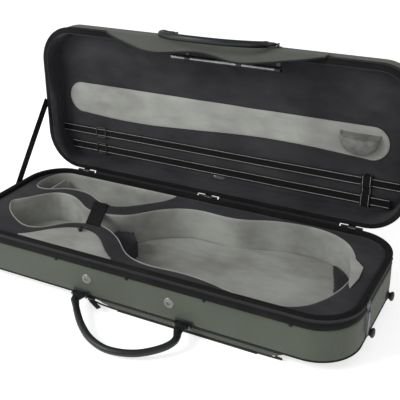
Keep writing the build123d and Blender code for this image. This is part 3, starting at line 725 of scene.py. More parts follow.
for hidden_core in ("base_core", "lid_core"):
    frame["nodes"][hidden_core].data.materials.clear()
    frame["nodes"][hidden_core].data.materials.append(BOARD)
for bare_metal in ("base_hinge_leaves", "lid_hinge_leaves", "hinge_pins"):
    frame["nodes"][bare_metal].data.materials.clear()
    frame["nodes"][bare_metal].data.materials.append(STEEL)

# ------------------------------------------------------------------ base shell

WALL = HALF_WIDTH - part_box("interior_tray")[1].y
COVER = 3 * MM


def padded(depth, size, seed):
    """A wobble that gives a padded cover its faint unevenness, outwards only in plan."""

    def shift(point):
        amount = soften(point, size, depth, seed)
        return (point.x * (1 - amount), point.y * (1 - amount), point.z)

    return shift


cover_section = (
    (120, 0.5), (60, 0.2), (12, 0.1), (4, 0.3), (2.6, 1.4), (1.2, 2.6), (0.5, 4.5), (0.2, 10), (0, 22),
    (0, 40), (0.25, 55), (0.6, 59), (1.2, 59.8), (3, 59.9), (3, 30), (3, 3),
)
base_profile = [(inset * MM, UNDERSIDE + height * MM) for inset, height in cover_section]
cover = plan_loft("cover_base", base_profile, wobble=padded(0.0009, 0.09, 1.0))
settle(cover, GREEN, "base", ["base_cover"])

cord_ring = plan(0.7 * MM, UNDERSIDE + 1.5 * MM)
piping = sweep("piping_base", cord_ring, oval(1.5 * MM, 1.5 * MM, 10), (0, 0, 1), closed=True)
settle(piping, BINDING, "base", ["base_piping"])

rim_profile = (
    [(COVER, COVER_TOP + 0.2 * MM), (0.9 * MM, COVER_TOP + 0.2 * MM), (0.1 * MM, COVER_TOP + 1.4 * MM)]
    + [(0.0, COVER_TOP + 6 * MM), (0.2 * MM, COVER_TOP + 9 * MM), (0.9 * MM, COVER_TOP + 11.5 * MM)]
    + [(0.9 * MM, RIM - 6.5 * MM), (0.2 * MM, RIM - 5 * MM)]
    + arc_profile((3 * MM, RIM - 3 * MM), 3 * MM, 180, 90, 5)
    + [(5 * MM, RIM + 0.1 * MM), (7 * MM, RIM - 0.3 * MM), (WALL + 0.3 * MM, RIM - 0.9 * MM)]
    + [(WALL + 0.6 * MM, RIM - 3 * MM), (WALL + 0.6 * MM, DECK - 6 * MM)]
    + [(WALL - 1.2 * MM, DECK - 6 * MM), (WALL - 1.4 * MM, RIM - 3.4 * MM), (COVER, RIM - 3.4 * MM)]
)
rim = plan_loft("binding_base", rim_profile, wrap=True, wobble=padded(0.0006, 0.05, 2.0))
settle(rim, RIM_CLOTH, "base", ["base_rim_binding"])

# ------------------------------------------------------------------ open zips


def chain_path(inset, height, back_stop):
    """The plan's ring without its back, from one end of the zip to the other."""
    ring = plan(inset, height)
    count = len(ring)
    behind = [index for index in range(count) if ring[index][1] > back_stop]
    first = max(behind) + 1
    return [Vector(ring[(first + step) % count]) for step in range(count - len(behind))]


def zip_chain(name, node, shut):
    """A woven tape with a row of moulded teeth along it."""
    low, high = closed_box(node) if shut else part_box(node)
    height = (low.z + high.z) / 2
    path = chain_path(-0.1 * MM, height, high.y - 3 * MM)
    tape = sweep(name, path, oval(0.7 * MM, 2.8 * MM, 12, 0.6), (0, 0, 1))
    settle(tape, TAPE, "lid" if shut else "base", [node], shut)
    teeth = []
    edge = low.z + 0.6 * MM if shut else high.z - 0.6 * MM
    distance = 0.0
    pitch = 2.6 * MM
    mark = pitch
    for before, after in zip(path, path[1:]):
        length = (after - before).length
        while mark <= distance + length:
            share = (mark - distance) / length
            point = before.lerp(after, share)
            point.z = edge
            way = (after - before).normalized()
            outside = Vector((way.y, -way.x, 0))
            teeth.append((point + outside * 0.6 * MM, Vector((0, 0, 1))))
            mark += pitch
        distance += length
    row = stitches(name + "_teeth", teeth, 3.4 * MM, 0.75 * MM)
    settle(row, BLACK_PLASTIC, "lid" if shut else "base", (), shut)


zip_chain("zip_base", "base_zip_chain", False)
zip_chain("zip_lid", "lid_zip_chain", True)

# ------------------------------------------------------------------ deck and hollows

hollows = {}
for hollow in ("instrument_lining", "accessory_lining", "storage_lining"):
    hollows[hollow] = resample(outlines(hollow)[0], 3 * MM)


def deck_height(points):
    """The deck's face: rolled at every edge, with a faint padded unevenness."""
    edge = np.full(len(points), 1.0)
    for loop in hollows.values():
        edge = np.minimum(edge, gap_to(points, loop))
    outer = gap_to(points, deck_outline)
    uneven = np.array([soften((x, y, 0), 0.07, 0.5 * MM, 3.0) for x, y in points])
    seam = 0.8 * MM * np.exp(-(((outer - 13 * MM) / (1.6 * MM)) ** 2))
    return DECK + uneven * 0.6 - 1.6 * MM * np.exp(-edge / (1.6 * MM)) - 2.2 * MM * np.exp(-outer / (2.5 * MM)) - seam


deck_outline = resample(plan(WALL + 0.4 * MM, DECK)[:, :2], 5 * MM)
deck = flat_piece(
    "deck",
    deck_outline,
    list(hollows.values()),
    5 * MM,
    deck_height,
    DECK - 8 * MM,
    margins=(1 * MM, 2.4 * MM, 4.5 * MM),
)
settle(deck, CHARCOAL, "base", ["interior_tray"])


def lined_hollow(name, node, creases):
    """A velvet lining: a thin rolled lip on the deck, a wall with soft creases and a padded floor."""
    loop = hollows[node]
    normal = outward(loop)
    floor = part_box(node)[0].z + 2 * MM
    top = min(DECK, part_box(node)[1].z)
    profile = [
        (0.2, top - 2.2 * MM),
        (0.6, top - 0.6 * MM),
        (0.1, top + 0.35 * MM),
        (-0.8, top + 0.3 * MM),
        (-1.6, top - 0.8 * MM),
    ]
    heights = np.linspace(top - 3.5 * MM, floor, 14)
    profile += [(-2.0, height) for height in heights]
    rings = []
    for offset, height in profile:
        depth = np.clip((top - height) / (top - floor), 0, 1)
        swell = np.array([creases(x, y, height) for x, y in loop]) * np.sin(pi * depth) ** 0.7
        ring = loop + normal * (offset * MM - swell)[:, None]
        rings.append(np.column_stack([ring, np.full(len(ring), height)]))
    wall = loft(name + "_wall", rings, caps=(False, False))
    inner = loop - 2 * MM * normal
    bottom = flat_piece(
        name + "_floor",
        inner,
        [],
        7 * MM,
        lambda points: floor
        - 0.4 * MM
        + 1.4 * MM * (1 - np.exp(-gap_to(points, inner) / (2.5 * MM)))
        + np.array([soften((x, y, 0), 0.06, 0.7 * MM, 5.0) for x, y in points]),
        floor - 1.8 * MM,
        margins=(1.2 * MM, 3 * MM),
    )
    lining = join(name, [wall, bottom])
    return settle(lining, GREY, "base", [node])


scroll_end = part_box("instrument_lining")[0].x


def instrument_creases(x, y, z):
    """Soft vertical folds, strongest round the scroll and at the tail."""
    scroll = np.exp(-(((x - scroll_end) / 0.13) ** 2))
    tail = np.exp(-(((x + scroll_end) / 0.05) ** 2)) * (y > 0)
    folds = noise.noise(Vector((x / 0.016, y / 0.016, z / 0.09)))
    return 3.2 * MM * scroll * folds + 3.2 * MM * tail * folds + 0.4 * MM * folds


def slight_creases(x, y, z):
    return 0.7 * MM * noise.noise(Vector((x / 0.03, y / 0.03, z / 0.08)))


lined_hollow("hollow_instrument", "instrument_lining", instrument_creases)
lined_hollow("hollow_accessory", "accessory_lining", slight_creases)
lined_hollow("hollow_storage", "storage_lining", slight_creases)

# ------------------------------------------------------------------ lid shell

LID_BAND = closed_box("lid_cover")[0].z
LID_TOP = closed_box("lid_cover")[1].z
LID_RIM = closed_box("lid_rim_binding")[0].z
CEILING = closed_box("name_plate")[1].z + 0.1 * MM

lid_cover_profile = (
    [(COVER, LID_TOP - 6 * MM), (COVER, LID_BAND + 1 * MM), (1.2 * MM, LID_BAND + 0.1 * MM)]
    + [(0.5 * MM, LID_BAND + 0.8 * MM), (0.1 * MM, LID_BAND + 3 * MM), (0.0, LID_TOP - 8 * MM)]
    + arc_profile((8 * MM, LID_TOP - 8.2 * MM), 8 * MM, 180, 90, 7)
    + [(12 * MM, LID_TOP - 0.1 * MM), (60 * MM, LID_TOP), (120 * MM, LID_TOP)]
)
lid_cover = plan_loft("cover_lid", lid_cover_profile, wobble=padded(0.0009, 0.09, 4.0))
settle(lid_cover, GREEN, "lid", ["lid_cover"], shut=True)

lid_rim_profile = (
    [(COVER, LID_BAND - 0.3 * MM), (COVER, LID_RIM + 3.4 * MM), (WALL - 1.4 * MM, LID_RIM + 3.4 * MM)]
    + [(WALL + 0.7 * MM, LID_RIM + 3 * MM), (WALL + 0.5 * MM, LID_RIM + 0.8 * MM)]
    + [(7 * MM, LID_RIM + 0.3 * MM), (5 * MM, LID_RIM)]
    + arc_profile((3 * MM, LID_RIM + 3 * MM), 3 * MM, -90, -180, 5)
    + [(0.2 * MM, LID_RIM + 4.8 * MM), (0.9 * MM, LID_RIM + 6 * MM), (0.9 * MM, LID_BAND - 9 * MM)]
    + [(0.2 * MM, LID_BAND - 8 * MM), (0.0, LID_BAND - 5 * MM), (0.3 * MM, LID_BAND - 1 * MM)]
)
lid_rim = plan_loft("binding_lid", lid_rim_profile, wrap=True, wobble=padded(0.0006, 0.05, 5.0))
settle(lid_rim, RIM_CLOTH, "lid", ["lid_rim_binding"], shut=True)

LINER = WALL + 2.4 * MM


def wavy(point):
    """The lining's inner wall bellies in and out a little between the places it is glued."""
    depth = min(max((point.z - LID_RIM) / (CEILING - LID_RIM), 0), 1)
    swell = 1.6 * MM * sin(pi * depth) * noise.noise(Vector((point.x / 0.05, point.y / 0.05, 7.0)))
    reach = max(abs(point.x), abs(point.y), 1e-6)
    share = 1 - (abs(swell) + swell) / 2 / reach - 0.4 * MM * sin(pi * depth) / reach
    slack = min(max((point.y + 0.05) / 0.05, 0), 1) * min(max((-point.x - HALF_LENGTH + 0.06) / 0.04, 0), 1)
    roll = sin(pi * min(max((point.z - LID_RIM) / (22 * MM), 0), 1)) * slack * slack * (3 - 2 * slack)
    return (point.x * share + 9 * MM * roll, point.y * share, point.z)


liner_profile = (
    [(WALL + 0.2 * MM, CEILING + 5 * MM), (WALL + 0.2 * MM, LID_RIM + 1.4 * MM)]
    + [(WALL + 0.9 * MM, LID_RIM + 0.5 * MM), (WALL + 1.9 * MM, LID_RIM + 1.0 * MM)]
    + [(LINER, LID_RIM + 3 * MM), (LINER, LID_RIM + 8 * MM), (LINER, LID_RIM + 14 * MM)]
    + [(LINER, LID_RIM + 20 * MM), (LINER + 0.4 * MM, CEILING - 4 * MM), (LINER + 1.2 * MM, CEILING + 1.2 * MM)]
    + [(LINER + 6 * MM, CEILING + 1.6 * MM)]
)
liner_wall = plan_loft("lining_lid_wall", liner_profile, caps=(True, False), wobble=wavy)


def ceiling_height(points):
    """The ceiling's slack velvet, raised and sunk a little."""
    edge = gap_to(points, ceiling_outline)
    fade = 1 - np.exp(-edge / (12 * MM))
    rolled = 3.5 * MM * np.exp(-edge / (2.5 * MM))
    broad = np.array([soften((x, y, 0), 0.09, 1.2 * MM, 8.0) for x, y in points])
    fine = np.array([soften((x * 0.4, y, 0), 0.02, 0.35 * MM, 9.0) for x, y in points])
    return -CEILING + (broad + fine) * fade - rolled


ceiling_outline = resample(plan(LINER + 2.2 * MM, CEILING)[:, :2], 6 * MM)
ceiling = flat_piece(
    "ceiling", ceiling_outline, [], 8 * MM, ceiling_height, -CEILING - 6 * MM, (1.2 * MM, 3 * MM, 6 * MM), down=True
)
liner = join("lining_lid", [liner_wall, ceiling])
settle(liner, CHARCOAL, "lid", ["lid_liner"], shut=True)

# ------------------------------------------------------------------ bow panel and its pocket

panel_low, panel_high = closed_box("bow_panel")
panel_outline = resample(outlines("bow_panel", CLOSED, -1)[0], 4 * MM)


def panel_height(points):
    """A padded board: rolled edges, a faint belly and slack nap."""
    edge = gap_to(points, panel_outline)
    slack = np.array([soften((x, y, 0), 0.05, 0.5 * MM, 11.0) for x, y in points])
    return -panel_low.z + 0.3 * MM - 1.5 * MM * np.exp(-edge / (1.5 * MM)) + slack


panel = flat_piece(
    "panel_bows", panel_outline, [], 6 * MM, panel_height, -panel_high.z, (1 * MM, 2.5 * MM), down=True
)
settle(panel, GREY, "lid", ["bow_panel"], shut=True)
# A thin black cord round the bow panel's edge is painted shadow: a dark strip that stands in for the shade line where
# the panel sits sunk in the ceiling, not a seam.
panel_shadow_path = [Vector((x, y, CEILING - 0.2 * MM)) for x, y in panel_outline + 0.8 * MM * outward(panel_outline)]
panel_shadow_line = sweep("panel_shadow_strip", panel_shadow_path, oval(0.9 * MM, 0.5 * MM, 8), (0, 0, 1), closed=True)
settle(panel_shadow_line, BLACK_THREAD, "lid", (), shut=True)

pocket_low, pocket_high = closed_box("bow_tip_pocket")
pocket_centre = (pocket_low.x + pocket_high.x) / 2
pocket_half = (pocket_high.x - pocket_low.x) / 2
pocket_mouth = pocket_low.y
pocket_depth = pocket_high.y - pocket_low.y


pocket_face, pocket_back = pocket_low.z, pocket_high.z
MOUTH_DIP = 9 * MM


def pouch_point(share, reach, skin):
    """A point on the pouch: share goes round from one end of the mouth, reach out from its middle."""
    angle = pi * share
    half = pocket_half - skin
    stand = pocket_back - pocket_face - skin
    x = pocket_centre - half * reach * cos(angle)
    rise = max(0.0, 1 - reach**3.2) ** (1 / 3.2)
    dip = MOUTH_DIP * rise
    y = pocket_mouth + dip + (pocket_depth - skin - dip) * reach * sin(angle) ** 0.75
    wrinkle = 0.8 * MM * noise.noise(Vector((x / 0.012, y / 0.012, skin)))
    return x, y, pocket_back + 0.4 * MM - stand * rise + wrinkle * rise


def pouch_sheet(name, skin):
    """One skin of the pouch, like half a bowl cut through at its mouth."""
    reaches = (1.0, 0.997, 0.985, 0.96, 0.92, 0.86, 0.78, 0.66, 0.5, 0.3, 0.05)
    rings = [[pouch_point(step / 60, reach, skin) for step in range(61)] for reach in reaches]
    return loft(name, rings, caps=(False, False))


POUCH_SKIN = 2.2 * MM
mouth_line = [pouch_point(0.0, reach, POUCH_SKIN / 2) for reach in np.linspace(1, 0.05, 24)]
mouth_line += [pouch_point(1.0, reach, POUCH_SKIN / 2) for reach in np.linspace(0.05, 1, 24)]
pouch_lip = sweep("lip", mouth_line, oval(1.4 * MM, 1.4 * MM, 10), (0, 1, 0))
bow_pouch = join(
    "pocket_bow_tip",
    [pouch_sheet("pouch_outside", 0.0), pouch_lip],
)
settle(pouch_sheet("pocket_bow_tip_inside", POUCH_SKIN), GREY, "lid", (), shut=True)
settle(bow_pouch, POUCH_GREY, "lid", ["bow_tip_pocket"], shut=True)

# ------------------------------------------------------------------ straps in the lid


def strap_in_lid(name, node, seed):
    """A webbing strap that sags and twists a little, with a thick edge and two rows of stitching."""
    low, high = closed_box(node)
    middle = (low.y + high.y) / 2
    half = (high.y - low.y) / 2
    face = low.z
    stations = 90
    rings, threads = [], []
    section = (
        (-1.0, 0.2), (-1.0, 0.75), (-0.93, 1.0), (-0.8, 0.95), (-0.4, 0.9), (0.4, 0.9), (0.8, 0.95),
        (0.93, 1.0), (1.0, 0.75), (1.0, 0.2), (0.93, 0.0), (-0.93, 0.0),
    )
    thick = high.z - low.z
    for station in range(stations + 1):
        x = low.x + (high.x - low.x) * station / stations
        sag = 0.7 * MM * noise.noise(Vector((x / 0.11, seed, 0.0)))
        drift = 0.5 * MM * noise.noise(Vector((x / 0.16, seed, 3.0)))
        twist = 0.05 * noise.noise(Vector((x / 0.13, seed, 6.0)))
        ring = []
        for across, rise in section:
            y = middle + drift + across * half
            z = face + thick * (1 - rise) + sag + across * half * twist
            ring.append((x, y, z))
        rings.append(ring)
    band = loft(name, rings)
    settle(band, STRAP, "lid", [node], shut=True)
    for side in (-1, 1):
        across = 0.8 * side
        row = []
        count = int((high.x - low.x) / (3.2 * MM))
        for step in range(count):
            x = low.x + (step + 0.5) * 3.2 * MM
            sag = 0.7 * MM * noise.noise(Vector((x / 0.11, seed, 0.0)))
            drift = 0.5 * MM * noise.noise(Vector((x / 0.16, seed, 3.0)))
            twist = 0.05 * noise.noise(Vector((x / 0.13, seed, 6.0)))
            point = (x, middle + drift + across * half, face + sag + across * half * twist)
            row.append((point, (1, 0, 0)))
        threads.extend(row)
    seam = stitches(name + "_stitching", threads, 2.4 * MM, 0.45 * MM)
    settle(seam, THREAD, "lid", (), shut=True)


strap_in_lid("strap_bow_upper", "bow_strap_upper", 1.5)
strap_in_lid("strap_bow_lower", "bow_strap_lower", 4.5)

sleeve_low, sleeve_high = closed_box("strap_sleeve")
upper_low, upper_high = closed_box("bow_strap_upper")
lower_low, lower_high = closed_box("bow_strap_lower")


def sleeve_face(y):
    """How far the sleeve stands off the ceiling: over both straps, and sewn down between them."""
    lift = 0.0
    for low, high in ((upper_low, upper_high), (lower_low, lower_high)):
        half = (high.y - low.y) / 2 + 1.5 * MM
        share = abs(y - (low.y + high.y) / 2) / half
        lift = max(lift, min(1.0, max(0.0, (1.35 - share) / 0.35)))
    lift = lift * lift * (3 - 2 * lift)
    sewn = CEILING - 1.5 * MM
    return sewn + (sleeve_low.z - sewn) * lift


sleeve_rings = []
sleeve_section = ((-1, 0.25), (-1, 0.8), (-0.9, 1.0), (-0.6, 0.92), (0.6, 0.92), (0.9, 1.0), (1, 0.8), (1, 0.25), (0.9, 0.0), (-0.9, 0.0))
sleeve_middle = (sleeve_low.x + sleeve_high.x) / 2
sleeve_half = (sleeve_high.x - sleeve_low.x) / 2
for step in range(61):
    y = sleeve_low.y + (sleeve_high.y - sleeve_low.y) * step / 60
    face = sleeve_face(y)
    sleeve_rings.append(
        [(sleeve_middle - a * sleeve_half, y, face + 1.5 * MM * (1 - b)) for a, b in sleeve_section]
    )
sleeve = loft("sleeve_straps", sleeve_rings)
settle(sleeve, STRAP, "lid", ["strap_sleeve"], shut=True)
sleeve_threads = []
count = int((sleeve_high.y - sleeve_low.y) / (2.6 * MM))
for step in range(count):
    y = sleeve_low.y + (step + 0.5) * 2.6 * MM
    slope = (sleeve_face(y + 0.5 * MM) - sleeve_face(y - 0.5 * MM)) / (1 * MM)
    for side in (-1, 1):
        place = (sleeve_middle + side * 0.72 * sleeve_half, y, sleeve_face(y) + 0.1 * MM)
        sleeve_threads.append((place, (0, 1, slope)))
sleeve_stitching = stitches("sleeve_stitching", sleeve_threads, 1.9 * MM, 0.42 * MM)
settle(sleeve_stitching, THREAD, "lid", (), shut=True)


def slide_buckle(name, node, body):
    """A three-bar slide of rounded wire, closed round the strap."""
    low, high = closed_box(node)
    middle = (low + high) / 2
    half_x = (high.x - low.x) / 2 - 1.4 * MM
    half_y = (high.y - low.y) / 2 - 1.4 * MM
    face = low.z + 0.6 * MM
    path = []
    for step in range(40):
        angle = 2 * pi * step / 40
        a, b = cos(angle), sin(angle)
        x = half_x * abs(a) ** 0.35 * (1 if a >= 0 else -1)
        y = half_y * abs(b) ** 0.35 * (1 if b >= 0 else -1)
        path.append((middle.x + x, middle.y + y, face))
    frame_bar = sweep(name + "_ring", path, oval(1.6 * MM, 1.1 * MM, 10, 0.7), (0, 0, 1), closed=True)
    bar_path = [(middle.x, middle.y - half_y, face + 2.2 * MM), (middle.x, middle.y + half_y, face + 2.2 * MM)]
    bar = sweep(name + "_bar", bar_path, oval(1.6 * MM, 0.8 * MM, 10, 0.7), (0, 0, 1))
    buckle = join(name, [frame_bar, bar])
    settle(buckle, BLACK_PLASTIC, body, [node], shut=True)


slide_buckle("slide_upper", "adjuster_upper", "buckle_upper")
slide_buckle("slide_lower", "adjuster_lower", "buckle_lower")

plate_low, plate_high = closed_box("name_plate")
plate_middle = (plate_low + plate_high) / 2
plate_profile = [
    (0.1 * MM, 1.0 * MM), (2.2 * MM, 1.0 * MM), (2.5 * MM, 1.5 * MM), (3.1 * MM, 1.5 * MM),
    (3.4 * MM, 1.1 * MM), (3.4 * MM, 0.0), (0.1 * MM, 0.0),
]
badge = turned("badge", plate_profile, (plate_middle.x, plate_middle.y, plate_high.z), (0, 0, -1))
for vertex in badge.data.vertices:
    vertex.co.x = plate_middle.x + (vertex.co.x - plate_middle.x) * 13 / 3.4
settle(badge, NICKEL, "lid", ["name_plate"], shut=True)

# ------------------------------------------------------------------ humidifier tube

tube_low, tube_high = closed_box("humidifier_tube")
tube_centre = (tube_low + tube_high) / 2
tube_length = tube_high.x - tube_low.x
TUBE = 5 * MM
tube_profile = [
    (0.1 * MM, 0.0), (3.6 * MM, 0.0), (4.6 * MM, 0.8 * MM), (4.9 * MM, 2.2 * MM), (4.9 * MM, 16 * MM),
    (4.5 * MM, 16.4 * MM), (4.5 * MM, 17.2 * MM), (TUBE, 17.6 * MM), (TUBE, tube_length - 17.6 * MM),
    (4.5 * MM, tube_length - 17.2 * MM), (4.5 * MM, tube_length - 16.4 * MM),
    (4.9 * MM, tube_length - 16 * MM), (4.9 * MM, tube_length - 2.2 * MM),
    (4.6 * MM, tube_length - 0.8 * MM), (3.6 * MM, tube_length), (0.1 * MM, tube_length),
]
tube = turned("tube_humidifier", tube_profile, (tube_low.x, tube_centre.y, tube_centre.z), (1, 0, 0))
settle(tube, ALUMINIUM, "lid", ["humidifier_tube"], shut=True)

clip_low, clip_high = closed_box("tube_clips")
clip_starts = sorted({round(x, 4) for x in node_points("tube_clips", CLOSED)[:, 0]})
clip_places = [(first + second) / 2 for first, second in zip(clip_starts[::2], clip_starts[1::2])]
clips = []
for place in clip_places:
    rings = []
    for share, swell in ((-1, 0.9), (-0.9, 1.0), (0.9, 1.0), (1, 0.9)):
        x = place + share * 5 * MM
        ring = []
        for step in range(25):
            angle = radians(-150 + 300 * step / 24)
            radius = (TUBE + 0.6 * MM) + 1.0 * MM * swell
            ring.append((x, tube_centre.y - radius * cos(angle), tube_centre.z + radius * sin(angle)))
        for step in range(25):
            angle = radians(150 - 300 * step / 24)
            radius = TUBE + 0.15 * MM
            ring.append((x, tube_centre.y - radius * cos(angle), tube_centre.z + radius * sin(angle)))
        rings.append(ring)
    clips.append(loft("clip", rings))
    foot_low = (place - 4 * MM, clip_low.y, tube_centre.z - 2.2 * MM)
    foot_high = (place + 4 * MM, tube_centre.y - TUBE - 0.4 * MM, tube_centre.z + 2.2 * MM)
    clips.append(block("clip_foot", foot_low, foot_high, 0.6 * MM))
tube_clips = join("clips_tube", clips)
settle(tube_clips, BLACK_PLASTIC, "lid", ["tube_clips"], shut=True)

# ------------------------------------------------------------------ lid flap

fold = CLOSED @ Vector(joints["flap_fold"]["pos_m"])
droop = radians(joints["flap_fold"]["range_deg"][1])
flap_way = Vector((0, sin(droop), -cos(droop)))
flap_out = Vector((0, -cos(droop), -sin(droop)))
TO_FLAP = Matrix((
    (1, 0, 0, 0), (0, flap_way.y, flap_way.z, 0), (0, flap_out.y, flap_out.z, 0), (0, 0, 0, 1)
)) @ Matrix.Translation(-Vector((0, fold.y, fold.z)))
flap_loop = outlines("lid_flap", TO_FLAP @ CLOSED, 1)[0]
FLAP_HALF = np.abs(flap_loop[:, 0]).max()
edge_points = flap_loop[flap_loop[:, 1] > 2 * MM]
edge_points = edge_points[np.argsort(edge_points[:, 0])]


def flap_reach(x):
    """How far the flap reaches from its fold, at a place along it."""
    return float(np.interp(x, edge_points[:, 0], edge_points[:, 1]))


hem_low, hem_high = closed_box("flap_hem")
FLAP_THICK = 2.5 * MM
hem_face = (hem_low.y + hem_high.y) / 2


def flap_point(x, distance):
    """The middle of the flap's cloth: up the lid's wall behind the fold, out over the edge past it."""
    wave = 0.4 * MM * abs(noise.noise(Vector((x / 0.05, distance / 0.04, 2.0))))
    if distance < 0:
        height = fold.z - distance
        return Vector((x, hem_face + (fold.y - hem_face) * max(0, 1 + distance / (6 * MM)), height))
    point = Vector((x, fold.y, fold.z)) + flap_way * distance + flap_out * wave
    return point


def flap_normal(x, distance):
    step = 0.5 * MM
    along = flap_point(x, distance + step) - flap_point(x, distance - step)
    across = flap_point(x + step, distance) - flap_point(x - step, distance)
    return along.cross(across).normalized()


flap_columns = np.linspace(-FLAP_HALF, FLAP_HALF, 131)
hem_length = hem_high.z - fold.z
shares = list(np.linspace(-1, 0, 7)) + list(np.linspace(0, 1, 15)[1:])
sides = []
for side in (1, -1):
    rows = []
    for x in flap_columns:
        reach = flap_reach(x)
        row = []
        for share in shares:
            distance = share * (hem_length if share < 0 else reach)
            thin = FLAP_THICK / 2 if share >= 0 else 0.9 * MM
            row.append(flap_point(x, distance) + flap_normal(x, distance) * (side * thin))
        rows.append(row)
    sides.append(rows)
flap_rings = []
for index in range(len(flap_columns)):
    flap_rings.append(sides[0][index] + sides[1][index][::-1])
flap = loft("flap_closure", flap_rings)
flap.data.transform(OPEN)
flap.data.materials.append(GREEN)
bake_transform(flap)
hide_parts("lid_flap", "flap_hem")

edge_path = [flap_point(x, flap_reach(x)) for x in np.linspace(-FLAP_HALF + 1 * MM, FLAP_HALF - 1 * MM, 181)]
flap_edge = sweep("flap_binding", edge_path, oval(1.9 * MM, 1.5 * MM, 10), flap_out)
settle(flap_edge, BINDING, "flap", (), shut=True)
edge_seam = []
for x in np.arange(-FLAP_HALF + 6 * MM, FLAP_HALF - 6 * MM, 3.4 * MM):
    reach = flap_reach(x) - 3.2 * MM
    if reach > 3 * MM:
        for side in (1, -1):
            point = flap_point(x, reach) + flap_normal(x, reach) * (side * FLAP_THICK / 2)
            ahead = flap_point(x + 1 * MM, flap_reach(x + 1 * MM) - 3.2 * MM)
            edge_seam.append((point, ahead - flap_point(x, reach)))
flap_seam = stitches("flap_stitching", edge_seam, 2.4 * MM, 0.28 * MM)
settle(flap_seam, BLACK_THREAD, "flap", (), shut=True)

SOCKET = 10 * MM
socket_boxes = node_points("flap_sockets", TO_FLAP @ CLOSED)
sockets = []
for side in (-1, 1):
    chosen = socket_boxes[socket_boxes[:, 0] * side > 0]
    centre = chosen.mean(0)
    place = Vector((centre[0], fold.y, fold.z)) + flap_way * float(centre[1])
    place.x = float(centre[0])
    cap = [
        (0.1 * MM, -0.6 * MM), (8.4 * MM, -0.6 * MM), (9.0 * MM, -0.8 * MM), (9.0 * MM, -1.3 * MM),
        (8.4 * MM, -1.6 * MM), (6.0 * MM, -1.6 * MM), (5.2 * MM, -1.35 * MM), (0.1 * MM, -1.3 * MM),
    ]
    sockets.append(turned("socket", cap, place, flap_out))
socket_pair = join("sockets_flap", sockets)
settle(socket_pair, NICKEL, "flap", ["flap_sockets"], shut=True)

# ------------------------------------------------------------------ handles


TUBE_GRIP = 6.3 * MM
GRIP_HALF = 105 * MM
NECK = 14 * MM
TAB_STATIONS = (
    (-3.2, 11.5, 1.2), (-2.6, 11.8, 2.6), (0.0, 12.0, 3.3), (2.5, 11.8, 3.0), (5.0, 11.0, 2.3),
    (10.0, 9.4, 2.1), (15.0, 8.0, 2.8), (20.0, 7.1, 4.6), (25.0, 6.7, 6.3), (29.0, 6.5, 6.5), (29.5, 5.6, 5.6),
)


def smooth_path(points, steps):
    """A smooth curve through points, with several steps between each pair."""
    points = [Vector(point) for point in points]
    padded_points = [points[0] * 2 - points[1]] + points + [points[-1] * 2 - points[-2]]
    path = []
    for index in range(len(points) - 1):
        before, start, end, after = padded_points[index:index + 4]
        for step in range(steps):
            t = step / steps
            lead = (end - before) / 2
            trail = (after - start) / 2
            path.append(
                start * (2 * t**3 - 3 * t**2 + 1) + lead * (t**3 - 2 * t**2 + t)
                + end * (3 * t**2 - 2 * t**3) + trail * (t**3 - t**2)
            )
    return path + [points[-1]]


